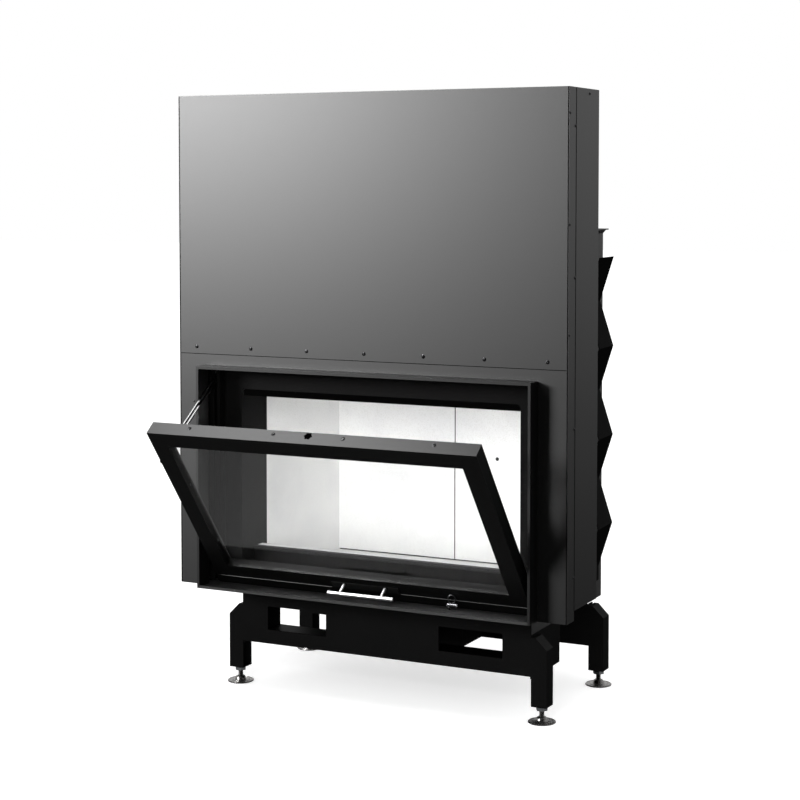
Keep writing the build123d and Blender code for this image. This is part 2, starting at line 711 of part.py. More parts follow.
with BuildPart() as flue_collar:
    post(0, FLUE_Y, (DOME_TOP, FLUE_TOP), FLUE_R + FLUE_T)
    post(0, FLUE_Y, (DOME_TOP, FLUE_TOP), FLUE_R, Mode.SUBTRACT)
finish(flue_collar, "flue_collar")

# ---- fins ----------------------------------------------------------------------------------
def fin_line(shift):
    """One face of a folded strip, out to a ridge and back to the wall, over and over."""
    points = []
    for ridge in range(FIN_COUNT):
        ridge_z = FIN_TOP - ridge * FIN_PITCH
        points.append((FIN_OUT + shift, ridge_z))
        points.append((shift, ridge_z - FIN_PITCH / 2))
    points.append((shift, points[-1][1] - FIN_TAB))
    return points


for name, side in SIDES.items():
    # The strip runs along the splayed wall, so its valleys lie on the wall from end to end.
    wall_run = Plane(
        origin=(side * body_half(FIN_Y0), FIN_Y0 + FRONT_Y, 0),
        x_dir=(side, WALL_SLOPE, 0),
        z_dir=(WALL_SLOPE, -side, 0),
    )
    with BuildPart() as fin:
        with BuildSketch(wall_run):
            with BuildLine():
                Polyline(*fin_line(0), *reversed(fin_line(FIN_T)), close=True)
            make_face()
        extrude(amount=-side * (FIN_Y1 - FIN_Y0))
    finish(fin, f"fin_{name}")

# ---- stand ---------------------------------------------------------------------------------
# Front cross plate with two windows, turned back along the bottom.
with BuildPart() as stand_front:
    front_y = (STAND_FRONT_Y, STAND_SEAT)
    board((-STAND_HALF, STAND_HALF), (STAND_FRONT_BASE, BODY_BASE), front_y)
    for side in SIDES.values():
        window_x = outward(side, WINDOW_X0, WINDOW_X1)
        board(window_x, (WINDOW_Z0, WINDOW_Z1), front_y, mode=Mode.SUBTRACT)
    flange_z = (STAND_FRONT_BASE, STAND_FRONT_BASE + STAND_T)
    slab((-STAND_INNER, STAND_INNER), (STAND_SEAT, STAND_FLANGE_REAR), flange_z)
finish(stand_front, "stand_front")

# Side plates joined by the cross beam behind the flange.
with BuildPart() as stand_frame:
    for side in SIDES.values():
        side_x = outward(side, STAND_INNER, STAND_HALF)
        slab(side_x, (STAND_SEAT, STAND_FLANGE_REAR), (STAND_SIDE_BASE, BODY_FOOT))
    beam_y = (STAND_FLANGE_REAR, STAND_FLANGE_REAR + STAND_T)
    board((-STAND_HALF, STAND_HALF), (BEAM_BASE, BODY_FOOT), beam_y)
finish(stand_frame, "stand_frame")

# Rear cross plate, turned forward along the bottom and back at its ends.
with BuildPart() as stand_rear:
    rear_y = (STAND_REAR_Y, STAND_REAR_Y + STAND_T)
    board((-STAND_REAR_HALF, STAND_REAR_HALF), (STAND_REAR_BASE, BODY_FOOT), rear_y)
    slab(
        (-STAND_REAR_LAP_HALF, STAND_REAR_LAP_HALF),
        (AIR_BOX_Y1, STAND_REAR_Y),
        (STAND_REAR_BASE, STAND_REAR_BASE + STAND_T),
    )
    for side in SIDES.values():
        side_x = outward(side, STAND_REAR_HALF - STAND_T, STAND_REAR_HALF)
        slab(side_x, (rear_y[1], STAND_REAR_Y + STAND_RETURN), (STAND_REAR_BASE, BODY_FOOT))
finish(stand_rear, "stand_rear")

# Box that feeds outside air to the hearth from a round spigot below.
with BuildPart() as air_box:
    box_x = (-AIR_BOX_HALF, AIR_BOX_HALF)
    box_y = (AIR_BOX_Y0, AIR_BOX_Y1)
    slab(box_x, box_y, (STAND_REAR_BASE, BODY_FOOT))
    box_hollow_z = (STAND_REAR_BASE + AIR_BOX_T, BODY_FOOT)
    slab(inset(box_x, AIR_BOX_T), inset(box_y, AIR_BOX_T), box_hollow_z, Mode.SUBTRACT)
    spigot_z = (STAND_REAR_BASE - SPIGOT_L, STAND_REAR_BASE)
    post(0, middle(box_y), spigot_z, SPIGOT_R + SPIGOT_T)
    post(0, middle(box_y), (spigot_z[0], box_hollow_z[0]), SPIGOT_R, Mode.SUBTRACT)
finish(air_box, "air_box")

# ---- legs and levelling feet ---------------------------------------------------------------
def leg_profile(side, inner, wall):
    """Front view of a leg, drawn in by a wall: its outer top corner is cut off at 45 degrees."""
    outer = inner + LEG_W - wall
    foot = LEG_BASE + wall
    head = LEG_TOP - wall
    cut = LEG_CHAMFER - wall * (2 - 2**0.5)
    points = [(inner, foot), (outer, foot), (outer, head - cut), (outer - cut, head), (inner, head)]
    return [(side * x, z) for x, z in points]


for end, (leg_half, leg_y) in LEG_SEATS.items():
    leg_x = leg_half + LEG_W / 2
    for name, side in SIDES.items():
        # Folded leg, open toward the stand plate that it is bolted to.
        with BuildPart() as leg:
            for wall, mode in ((0, Mode.ADD), (LEG_T, Mode.SUBTRACT)):
                with BuildSketch(Plane.XZ.offset(-(leg_y + LEG_D - wall + FRONT_Y))):
                    with BuildLine():
                        Polyline(*leg_profile(side, leg_half, wall), close=True)
                    make_face()
                extrude(amount=LEG_D - 2 * wall, mode=mode)
            hole_z = (LEG_BASE, LEG_BASE + LEG_T)
            post(side * leg_x, leg_y + LEG_D / 2, hole_z, STEM_R + STEM_FIT, Mode.SUBTRACT)
        finish(leg, f"leg_{end}_{name}")

        # Foot disc with its hub and threaded stem.
        with BuildPart() as foot:
            with BuildSketch(Plane.XZ.offset(-(leg_y + LEG_D / 2 + FRONT_Y))):
                with BuildLine():
                    Polyline(
                        (side * leg_x, 0),
                        (side * leg_x + FOOT_R, 0),
                        (side * leg_x + FOOT_R, FOOT_T),
                        (side * leg_x + FOOT_HUB_R, FOOT_T),
                        (side * leg_x + STEM_R, FOOT_HUB_TOP),
                        (side * leg_x + STEM_R, STEM_TOP),
                        (side * leg_x, STEM_TOP),
                        close=True,
                    )
                make_face()
            revolve(axis=Axis((side * leg_x, leg_y + LEG_D / 2 + FRONT_Y, 0), (0, 0, 1)))
        finish(foot, f"foot_{end}_{name}")

with BuildPart() as lock_nuts:
    nut_places = [
        (side * (leg_half + LEG_W / 2), leg_y + LEG_D / 2 + FRONT_Y)
        for leg_half, leg_y in LEG_SEATS.values()
        for side in SIDES.values()
    ]
    with BuildSketch(Plane.XY.offset(LEG_BASE - NUT_H)):
        with Locations(*nut_places):
            RegularPolygon(NUT_ACROSS / 2, 6, major_radius=False)
            Circle(STEM_R + STEM_FIT, mode=Mode.SUBTRACT)
    extrude(amount=NUT_H)
finish(lock_nuts, "lock_nuts")

# ---- lift ----------------------------------------------------------------------------------
rail_front = ROLLER_Y - ROLLER_R - RAIL_PLAY
rail_rear = ROLLER_Y + ROLLER_R + RAIL_PLAY

for name, side in SIDES.items():
    # Channel that the carriage rollers run in, tabbed to the casing side. The left one also
    # carries the pivot of the stay arm.
    with BuildPart() as guide_rail:
        rail_z = (POST_BASE, RAIL_TOP)
        slab(
            outward(side, RAIL_X, RAIL_X + RAIL_W),
            (rail_front - RAIL_T, rail_rear + RAIL_T),
            rail_z,
        )
        web_x = RAIL_X + RAIL_W - RAIL_T
        slab(outward(side, RAIL_X, web_x), (rail_front, rail_rear), rail_z, Mode.SUBTRACT)
        for step in range(TAB_COUNT):
            tab_z = (TAB_LOW + step * TAB_STEP, TAB_LOW + step * TAB_STEP + TAB_H)
            reach_x = outward(side, web_x, INNER_W)
            slab(reach_x, (rail_front, rail_rear), (tab_z[0], tab_z[0] + RAIL_T))
            slab(outward(side, INNER_W - RAIL_T, INNER_W), (rail_front, rail_rear), tab_z)
        if name == "left":
            bracket_x = STAY_X + STAY_T + STAY_TIP_GAP
            bracket_z = (STAY_Z - STAY_BRACKET_HALF, STAY_Z + STAY_BRACKET_HALF)
            bracket_y = (STAY_Y - STAY_BRACKET_FRONT, rail_front)
            slab(outward(side, bracket_x, bracket_x + STAY_BRACKET_T), bracket_y, bracket_z)
            head_x = outward(side, STAY_X - STAY_PLAY - STAY_HEAD_T, STAY_X - STAY_PLAY)
            rod(head_x, STAY_Y, STAY_Z, STAY_HEAD_R)
            rod(outward(side, STAY_X - STAY_PLAY, bracket_x), STAY_Y, STAY_Z, STAY_PIN_R)
    finish(guide_rail, f"guide_rail_{name}")

# Carriage: two posts that carry the door's hinge, joined by a cross bar above the door.
with BuildPart() as carriage:
    post_y = (POST_FRONT, POST_FRONT + POST_D)
    for side in SIDES.values():
        post_x = outward(side, POST_X, POST_X + POST_T)
        slab(post_x, post_y, (POST_BASE, CROSS_TOP))
        rod(post_x, HINGE_Y, HINGE_Z, HINGE_R + RUN_FIT, Mode.SUBTRACT)
        lug_y = (ROLLER_Y - CHAIN_T / 2, ROLLER_Y + CHAIN_T / 2)
        slab(post_x, lug_y, (CROSS_TOP, CROSS_TOP + LUG_H))
    slab((-POST_X, POST_X), post_y, (CROSS_BASE, CROSS_TOP))
finish(carriage, "carriage")

with BuildPart() as carriage_rollers:
    for side in SIDES.values():
        for roller_z in (POST_BASE + ROLLER_FOOT, CROSS_TOP - ROLLER_HEAD):
            wheel_x = RAIL_X + RAIL_T
            rod(outward(side, POST_X + POST_T, wheel_x + ROLLER_W), ROLLER_Y, roller_z, AXLE_R)
            rod(outward(side, wheel_x, wheel_x + ROLLER_W), ROLLER_Y, roller_z, ROLLER_R)
finish(carriage_rollers, "carriage_rollers")

# Shaft with a toothed wheel at each end that the two chains hang over.
with BuildPart() as lift_shaft:
    rod((-SHAFT_HALF, SHAFT_HALF), SHAFT_Y, SHAFT_Z, SHAFT_R)
    for side in SIDES.values():
        wheel_x = outward(side, CHAIN_X - SPROCKET_W / 2, CHAIN_X + SPROCKET_W / 2)
        rod(wheel_x, SHAFT_Y, SHAFT_Z, SPROCKET_R)
        with BuildSketch(Plane.YZ.offset(wheel_x[0])):
            with Locations((SHAFT_Y + FRONT_Y, SHAFT_Z)):
                with PolarLocations(SPROCKET_R, SPROCKET_TEETH):
                    Rectangle(2 * TOOTH_H, TOOTH_H)
        extrude(amount=SPROCKET_W, mode=Mode.SUBTRACT)
finish(lift_shaft, "lift_shaft")

with BuildPart() as shaft_brackets:
    for side in SIDES.values():
        plate_x = outward(side, BEARING_X, BEARING_X + BEARING_T)
        plate_y = (SHAFT_Y - BEARING_HALF, SHAFT_Y + BEARING_HALF)
        slab(plate_x, plate_y, (SHAFT_Z - BEARING_HALF, CASING_TOP - SHEET))
        rod(plate_x, SHAFT_Y, SHAFT_Z, SHAFT_R + RUN_FIT, Mode.SUBTRACT)
finish(shaft_brackets, "shaft_brackets")

# Chains: over the wheels, down to the carriage, and down to the counterweights.
with BuildPart() as chain_wraps:
    for side in SIDES.values():
        wrap_x = outward(side, CHAIN_X - CHAIN_W / 2, CHAIN_X + CHAIN_W / 2)
        rod(wrap_x, SHAFT_Y, SHAFT_Z, CHAIN_R + CHAIN_T)
        rod(wrap_x, SHAFT_Y, SHAFT_Z, CHAIN_R, Mode.SUBTRACT)
        below_y = (SHAFT_Y - 2 * SPROCKET_R, SHAFT_Y + 2 * SPROCKET_R)
        slab(wrap_x, below_y, (SHAFT_Z - 2 * SPROCKET_R, SHAFT_Z), Mode.SUBTRACT)
finish(chain_wraps, "chain_wraps")

chain_runs = {
    "chain_front": (ROLLER_Y, CROSS_TOP + LUG_H),
    "chain_rear": (CHAIN_REAR_Y, WEIGHT_TOP),
}
for name, (run_y, run_foot) in chain_runs.items():
    with BuildPart() as chain_run:
        for side in SIDES.values():
            wrap_x = outward(side, CHAIN_X - CHAIN_W / 2, CHAIN_X + CHAIN_W / 2)
            slab(wrap_x, (run_y - CHAIN_T / 2, run_y + CHAIN_T / 2), (run_foot, SHAFT_Z))
    finish(chain_run, name)

for name, side in SIDES.items():
    with BuildPart() as weight:
        weight_x = outward(side, POST_X, POST_X + WEIGHT_W)
        weight_y = (CHAIN_REAR_Y - WEIGHT_D / 2, CHAIN_REAR_Y + WEIGHT_D / 2)
        slab(weight_x, weight_y, (WEIGHT_TOP - WEIGHT_H, WEIGHT_TOP))
        chamfer(weight.edges().filter_by(Axis.Z), WEIGHT_EDGE)
    finish(weight, f"weight_{name}")

# ---- door ----------------------------------------------------------------------------------
# Hollow frame with a stepped opening for the glass and a raised rail along its foot.
with BuildPart() as door_frame:
    door_x = (-DOOR_HALF, DOOR_HALF)
    door_v = (-DOOR_FOOT, DOOR_TOP)
    back_u = (-DOOR_BACK, -DOOR_BACK + DOOR_WALL)
    leaf(door_x, door_v, (back_u[1], DOOR_FRONT))
    hollow_u = (back_u[1], DOOR_FRONT - DOOR_WALL)
    leaf(inset(door_x, DOOR_WALL), inset(door_v, DOOR_WALL), hollow_u, mode=Mode.SUBTRACT)
    view_x = inset(door_x, FRAME_BAR)
    view_v = (GLASS_V0, GLASS_V1)
    rebate_x = inset(view_x, -REBATE)
    rebate_v = inset(view_v, -REBATE)
    wall_x = inset(rebate_x, -DOOR_WALL)
    wall_v = inset(rebate_v, -DOOR_WALL)
    leaf(wall_x, wall_v, hollow_u)
    leaf(view_x, view_v, (back_u[1], DOOR_FRONT), mode=Mode.SUBTRACT)
    leaf(rebate_x, rebate_v, (back_u[1], GLASS_FACE), mode=Mode.SUBTRACT)
    leaf(door_x, (RAIL_V0, RAIL_V1), (DOOR_FRONT, DOOR_FRONT + RAIL_OUT))
    # Socket that the stay arm hooks into.
    stay_y = HINGE_Y - STAY_DOOR_V * SIN
    stay_z = HINGE_Z + STAY_DOOR_V * COS
    socket_x = (-DOOR_HALF, -DOOR_HALF + STAY_HOLE_DEPTH)
    rod(socket_x, stay_y, stay_z, STAY_TIP_R + CUT_FIT, Mode.SUBTRACT)
finish(door_frame, "door_frame")

# Back of the frame, which closes the hollow and carries the rope seal.
with BuildPart() as door_back:
    leaf(door_x, door_v, back_u)
    leaf(rebate_x, rebate_v, back_u, mode=Mode.SUBTRACT)
finish(door_back, "door_back")

with BuildPart() as door_glass:
    leaf(inset(rebate_x, GLASS_PLAY), inset(rebate_v, GLASS_PLAY), (GLASS_FACE - GLASS_T, GLASS_FACE))
finish(door_glass, "door_glass")

# Rope seal that meets the frame plate round the mouth.
with BuildPart() as door_seal:
    seal_u = (-DOOR_BACK - SEAL_T, -DOOR_BACK)
    seal_x = (-SEAL_HALF, SEAL_HALF)
    seal_v = (SEAL_V0, SEAL_V1)
    leaf(seal_x, seal_v, seal_u, SEAL_R)
    leaf(inset(seal_x, SEAL_W), inset(seal_v, SEAL_W), seal_u, SEAL_R - SEAL_W, Mode.SUBTRACT)
finish(door_seal, "door_seal")

# Handle: a back plate with two stand-offs, and the bar across them.
with BuildPart() as handle_mount:
    plate_half = HANDLE_L / 2 + HANDLE_PLATE_OVER
    plate_v = (RAIL_V1 + CUT_FIT, RAIL_V1 + CUT_FIT + HANDLE_PLATE_H)
    leaf((-plate_half, plate_half), plate_v, (DOOR_FRONT, DOOR_FRONT + HANDLE_PLATE_T))
    bar_u = DOOR_FRONT + HANDLE_PLATE_T + HANDLE_POST_L
    with BuildSketch(DOOR.offset(DOOR_FRONT + HANDLE_PLATE_T)):
        with Locations((-HANDLE_POST_X, HANDLE_V), (HANDLE_POST_X, HANDLE_V)):
            Circle(HANDLE_POST_R)
    extrude(amount=HANDLE_POST_L)
    bar_plane = Plane(
        origin=DOOR.from_local_coords((0, HANDLE_V, bar_u)), x_dir=(0, 1, 0), z_dir=(1, 0, 0)
    )
    with BuildSketch(bar_plane.offset(-HANDLE_L / 2)):
        Circle(HANDLE_R)
    extrude(amount=HANDLE_L, mode=Mode.SUBTRACT)
finish(handle_mount, "handle_mount")

with BuildPart() as handle_bar:
    with BuildSketch(bar_plane.offset(-HANDLE_L / 2)):
        Circle(HANDLE_R)
    extrude(amount=HANDLE_L)
    chamfer(handle_bar.edges().filter_by(GeomType.CIRCLE), HANDLE_EDGE)
finish(handle_bar, "handle_bar")

with BuildPart() as hinge_pins:
    for side in SIDES.values():
        rod(outward(side, DOOR_HALF, DOOR_HALF + WASHER_T), HINGE_Y, HINGE_Z, WASHER_R)
        pin_x = outward(side, DOOR_HALF + WASHER_T, POST_X + POST_T)
        rod(pin_x, HINGE_Y, HINGE_Z, HINGE_R)
finish(hinge_pins, "hinge_pins")

# Slotted stay arm, hung from the left guide rail, with a tip that points at the door's socket.
arm_plane = Plane(
    origin=(-STAY_X, STAY_Y + FRONT_Y, STAY_Z),
    x_dir=(0, -STAY_REACH, -STAY_DROP),
    z_dir=(-1, 0, 0),
)
with BuildPart() as stay_left:
    with BuildSketch(arm_plane):
        with Locations((STAY_L / 2, 0)):
            SlotCenterToCenter(STAY_L, STAY_W)
        slot_from = STAY_W + STAY_SLOT
        slot_to = STAY_L - STAY_W
        with Locations((middle((slot_from, slot_to)), 0)):
            SlotCenterToCenter(slot_to - slot_from, STAY_SLOT, mode=Mode.SUBTRACT)
        Circle(STAY_PIN_R + RUN_FIT, mode=Mode.SUBTRACT)
    extrude(amount=STAY_T)
    rod((-STAY_X, -DOOR_HALF - STAY_TIP_GAP), stay_y, stay_z, STAY_TIP_R)
finish(stay_left, "stay_left")

# ---- air lever -----------------------------------------------------------------------------
with BuildPart() as air_knob:
    rod((KNOB_X0, KNOB_X0 + KNOB_L), KNOB_Y, KNOB_Z, KNOB_R)
    post(LEVER_X, KNOB_Y, (KNOB_BOSS_Z, KNOB_Z), KNOB_BOSS_R)
finish(air_knob, "air_knob")

# Stem through the ledge, and the slotted register that it slides under the firebox.
with BuildPart() as air_register:
    post(LEVER_X, KNOB_Y, (LEVER_Z, KNOB_BOSS_Z), LEVER_R)
    lever_x = (LEVER_X - LEVER_W / 2, LEVER_X + LEVER_W / 2)
    slab(lever_x, (KNOB_Y - LEVER_W / 2, REGISTER_Y0), (LEVER_Z, LEVER_Z + LEVER_T))
    register_z = (LEVER_Z, BODY_BASE - REGISTER_GAP)
    register_x = (LEVER_X - REGISTER_HALF, LEVER_X + REGISTER_HALF)
    slab(register_x, (REGISTER_Y0, REGISTER_Y1), register_z)
    with BuildSketch(Plane.XY.offset(register_z[0])):
        with Locations((LEVER_X, middle((FRAME_BACK, REGISTER_Y1)) + FRONT_Y)):
            with GridLocations(REGISTER_STEP, 1, REGISTER_SLOTS, 1):
                Rectangle(REGISTER_SLOT_W, REGISTER_SLOT_D)
    extrude(amount=span(register_z), mode=Mode.SUBTRACT)
finish(air_register, "air_register")
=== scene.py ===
"""Looks of the fireplace insert: paints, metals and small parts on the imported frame, with the
camera, floor and lights of a plain studio. Metres in the frame's own axes. Sizes and places of
the small parts are in millimetres.
"""
import json
import math

import bmesh
import bpy
from mathutils import Matrix, Vector


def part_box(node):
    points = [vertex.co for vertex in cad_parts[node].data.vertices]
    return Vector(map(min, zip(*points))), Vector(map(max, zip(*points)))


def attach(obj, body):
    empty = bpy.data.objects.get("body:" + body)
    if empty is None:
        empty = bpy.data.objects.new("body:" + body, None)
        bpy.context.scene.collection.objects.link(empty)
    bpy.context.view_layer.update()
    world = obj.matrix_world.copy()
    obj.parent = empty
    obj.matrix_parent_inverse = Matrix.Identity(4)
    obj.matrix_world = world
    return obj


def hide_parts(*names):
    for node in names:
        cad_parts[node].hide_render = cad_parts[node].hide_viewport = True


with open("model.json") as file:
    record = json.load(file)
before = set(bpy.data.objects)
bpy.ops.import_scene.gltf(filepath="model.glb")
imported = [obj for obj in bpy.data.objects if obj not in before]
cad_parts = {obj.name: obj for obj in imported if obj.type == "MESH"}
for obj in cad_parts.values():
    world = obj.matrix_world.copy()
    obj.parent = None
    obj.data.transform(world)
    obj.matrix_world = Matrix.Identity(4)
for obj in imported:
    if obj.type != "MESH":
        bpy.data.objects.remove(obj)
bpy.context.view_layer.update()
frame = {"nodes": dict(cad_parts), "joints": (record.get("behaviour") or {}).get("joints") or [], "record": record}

NODES = frame["nodes"]
JOINTS = {joint["name"]: joint for joint in frame["joints"]}
SIDES = {"left": -1, "right": 1}
MM = 0.001


def low(node, axis):
    """Lowest coordinate of a node along an axis."""
    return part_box(node)[0]["xyz".index(axis)]


def high(node, axis):
    """Highest coordinate of a node along an axis."""
    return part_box(node)[1]["xyz".index(axis)]


# ---- places ----------------------------------------------------------------------------------
FRONT_Y = low("cover_plate", "y")
HINGE = Vector(JOINTS["door_tilt"]["pos_m"])
TILT = -math.radians(JOINTS["door_tilt"]["range_deg"][0])
ACROSS = Vector((1.0, 0.0, 0.0))
FRONT = Vector((0.0, -1.0, 0.0))
TOP = Vector((0.0, 0.0, 1.0))
UP_DOOR = Vector((0.0, -math.sin(TILT), math.cos(TILT)))
OUT_DOOR = Vector((0.0, -math.cos(TILT), -math.sin(TILT)))


def place(x, y, z):
    """A point in millimetres: across, behind the casing's front face, over the floor."""
    return Vector((x * MM, FRONT_Y + y * MM, z * MM))


def depth_of(coordinate):
    """Millimetres from the casing's front face to a coordinate along Y."""
    return (coordinate - FRONT_Y) / MM


def on_door(x, v, u):
    """A point in millimetres on the door: across, up from the hinge, out from its axis."""
    return HINGE + (ACROSS * x + UP_DOOR * v + OUT_DOOR * u) * MM


def frame_at(centre, normal, across=ACROSS):
    """Axes at a point: local Z along the normal, local X as near to across as that allows."""
    normal = normal.normalized()
    second = normal.cross(across)
    if second.length < 0.1:
        second = normal.cross(TOP)
    second.normalize()
    first = second.cross(normal)
    return Matrix.Translation(centre) @ Matrix((first, second, normal)).transposed().to_4x4()


# ---- node trees --------------------------------------------------------------------------------
class Nodes:
    """Short ways to add nodes to a tree and to wire them."""

    def __init__(self, tree):
        self.tree = tree

    def feed(self, value, socket):
        """Link a node's output into a socket, or set the socket to a number or a colour."""
        if isinstance(value, bpy.types.NodeSocket):
            self.tree.links.new(value, socket)
        elif socket.type == "RGBA":
            socket.default_value = (*value, 1.0)
        else:
            socket.default_value = value

    def add(self, kind, values=None, **settings):
        """A node with its settings made and its inputs fed, each by name or number."""
        made = self.tree.nodes.new(kind)
        for setting, value in settings.items():
            setattr(made, setting, value)
        for socket, value in (values or {}).items():
            self.feed(value, made.inputs[socket])
        return made

    def calculate(self, operation, first, second):
        made = self.add("ShaderNodeMath", {0: first, 1: second}, operation=operation)
        return made.outputs["Value"]

    def spread(self, value, to_low, to_high, from_low=0.0, from_high=1.0, smooth=False):
        """Map a value from one range to another."""
        ends = {"From Min": from_low, "From Max": from_high, "To Min": to_low, "To Max": to_high}
        made = self.add(
            "ShaderNodeMapRange", {"Value": value, **ends},
            interpolation_type="SMOOTHSTEP" if smooth else "LINEAR",
        )
        return made.outputs["Result"]


class Shader(Nodes):
    """A principled material."""

    def __init__(self, name, **inputs):
        self.material = bpy.data.materials.new(name)
        self.material.use_nodes = True
        super().__init__(self.material.node_tree)
        self.bsdf = self.tree.nodes["Principled BSDF"]
        for socket, value in inputs.items():
            self.put(socket.replace("_", " "), value)

    def put(self, socket, value):
        self.feed(value, self.bsdf.inputs[socket])

    def coords(self):
        return self.add("ShaderNodeTexCoord").outputs["Object"]

    def noise(self, scale, detail=3.0, roughness=0.5, distortion=0.0, stretch=None):
        source = self.coords()
        if stretch:
            mapped = self.add("ShaderNodeMapping", {"Vector": source, "Scale": stretch})
            source = mapped.outputs["Vector"]
        made = self.add("ShaderNodeTexNoise", {
            "Vector": source, "Scale": scale, "Detail": detail,
            "Roughness": roughness, "Distortion": distortion,
        })
        return made.outputs["Fac"]

    def ramp(self, value, *stops):
        """Colour from (position, grey or colour) stops."""
        made = self.add("ShaderNodeValToRGB", {"Fac": value})
        bar = made.color_ramp
        while len(bar.elements) < len(stops):
            bar.elements.new(0.5)
        for element, (position, colour) in zip(bar.elements, stops):
            element.position = position
            if not isinstance(colour, tuple):
                colour = (colour, colour, colour)
            element.color = (*colour, 1.0)
        return made.outputs["Color"]

    def multiply(self, colour, by, share=1.0):
        made = self.add(
            "ShaderNodeMix", {"Factor": share, "A": colour, "B": by},
            data_type="RGBA", blend_type="MULTIPLY",
        )
        return made.outputs["Result"]

    def bump(self, height, strength, distance):
        made = self.add(
            "ShaderNodeBump", {"Strength": strength, "Distance": distance, "Height": height}
        )
        self.put("Normal", made.outputs["Normal"])

    def fade_in_mirrors(self, colour, share):
        """Show only a share of a colour in reflections. The photograph has no image of the
        handle in the door's glass."""
        depth = self.add("ShaderNodeLightPath").outputs["Glossy Depth"]
        mirrored = self.calculate("MINIMUM", depth, 1.0)
        return self.multiply(colour, (share, share, share), mirrored)


# ---- materials ---------------------------------------------------------------------------------
HANDLE_GREY = 0.46          # colour of the handle's steel
HANDLE_MIRRORED = 0.05      # share of it that reflections show
HANDLE_PLATE_FACE = 23.3    # face of the handle's back plate, out from the hinge axis
PAINT_PLAY = 0.03           # how far a paint's roughness goes up and down


def paint(name, dark, light, rough, specular, grain=900.0, grain_depth=0.00012):
    """Matt heat-proof paint: fine grain, faint clouding, and gloss that varies a little."""
    shader = Shader(name, Specular_IOR_Level=specular)
    cloud = shader.noise(2.3, 4.0, 0.55)
    shader.put("Base Color", shader.ramp(cloud, (0.3, dark), (0.75, light)))
    worn = shader.noise(420.0, 3.0, 0.6)
    shader.put("Roughness", shader.spread(worn, rough - PAINT_PLAY, rough + PAINT_PLAY))
    shader.bump(shader.noise(grain, 2.0, 0.6), 0.35, grain_depth)
    return shader.material


def metal(name, colour, rough, stretch=(1.0, 1.0, 1.0), scale=60.0, play=0.08, mirrored=1.0):
    """Bare or plated steel with marks drawn out along one direction."""
    shader = Shader(name, Metallic=1.0)
    marks = shader.noise(scale, 4.0, 0.65, stretch=stretch)
    darker = tuple(0.72 * part for part in colour)
    tone = shader.ramp(marks, (0.25, darker), (0.7, colour))
    if mirrored < 1.0:
        tone = shader.fade_in_mirrors(tone, mirrored)
    shader.put("Base Color", tone)
    shader.put("Roughness", shader.spread(marks, rough - play, rough + play))
    shader.bump(marks, 0.25, 0.00008)
    return shader.material


def lining_board(name, pale, grey):
    """Pressed mineral board: pale, matt, with flecks and soft cloudy stains."""
    shader = Shader(name, Roughness=0.78, Specular_IOR_Level=0.25)
    stain = shader.ramp(shader.noise(7.0, 6.0, 0.62, 0.4), (0.32, grey), (0.56, pale))
    fleck = shader.ramp(shader.noise(420.0, 2.0, 0.7), (0.30, (0.86, 0.85, 0.83)), (0.48, 1.0))
    shader.put("Base Color", shader.multiply(stain, fleck))
    shader.bump(shader.noise(260.0, 4.0, 0.7), 0.4, 0.0004)
    return shader.material


def glass_pane():
    """Clear pane that lamps shine through."""
    shader = Shader("door_glass", Roughness=0.0, IOR=1.52, Transmission_Weight=1.0)
    shader.put("Base Color", (0.98, 0.985, 0.98))
    clear = shader.add("ShaderNodeBsdfTransparent", {"Color": (0.9, 0.9, 0.9)})
    either = shader.add("ShaderNodeMixShader", {
        "Fac": shader.add("ShaderNodeLightPath").outputs["Is Shadow Ray"],
        1: shader.bsdf.outputs["BSDF"],
        2: clear.outputs["BSDF"],
    })
    surface = shader.tree.nodes["Material Output"].inputs["Surface"]
    shader.feed(either.outputs["Shader"], surface)
    return shader.material


def braided_rope():
    """Dark glass-fibre rope."""
    shader = Shader("seal_rope", Roughness=0.9)
    weave = shader.add(
        "ShaderNodeTexWave", {"Scale": 260.0, "Distortion": 2.0, "Vector": shader.coords()}
    ).outputs["Fac"]
    shader.put("Base Color", shader.ramp(weave, (0.2, 0.03), (0.8, 0.12)))
    shader.bump(weave, 0.6, 0.0006)
    return shader.material


def fin_paint():
    """Dead matt paint with painted shade: a little paler where a fin's folds face up and darker where they face
    down, as if lit from above.
    """
    shader = Shader("fin_paint", Roughness=0.6, Specular_IOR_Level=0.0)
    normal = shader.add("ShaderNodeNewGeometry").outputs["Normal"]
    upward = shader.add("ShaderNodeSeparateXYZ", {"Vector": normal}).outputs["Z"]
    facing = shader.spread(upward, 0.0, 1.0, -0.4, 0.4)
    cloud = shader.spread(shader.noise(6.0, 4.0, 0.6), 0.7, 1.3)
    # painted shade: lighter on faces turned up, darker on faces turned down
    painted_sky_shade = shader.calculate("MULTIPLY", facing, cloud)
    shader.put("Base Color", shader.ramp(painted_sky_shade, (0.0, 0.0008), (1.0, 0.0065)))
    shader.bump(shader.noise(700.0, 2.0, 0.6), 0.35, 0.00015)
    return shader.material


def handle_mount_steel():
    """Black back plate with bare steel stand-offs, told apart by their height over the door."""
    shader = Shader("handle_mount", Specular_IOR_Level=0.12)
    height = shader.add(
        "ShaderNodeVectorMath", {0: shader.coords(), 1: OUT_DOOR}, operation="DOT_PRODUCT"
    ).outputs["Value"]
    plate_face = HINGE.dot(OUT_DOOR) + HANDLE_PLATE_FACE * MM
    bare = shader.spread(height, 0.0, 1.0, plate_face, plate_face + 0.2 * MM)
    tone = shader.ramp(bare, (0.0, 0.003), (1.0, HANDLE_GREY))
    shader.put("Base Color", shader.fade_in_mirrors(tone, HANDLE_MIRRORED))
    shader.put("Metallic", bare)
    shader.put("Roughness", shader.spread(shader.noise(900.0), 0.32, 0.42))
    return shader.material


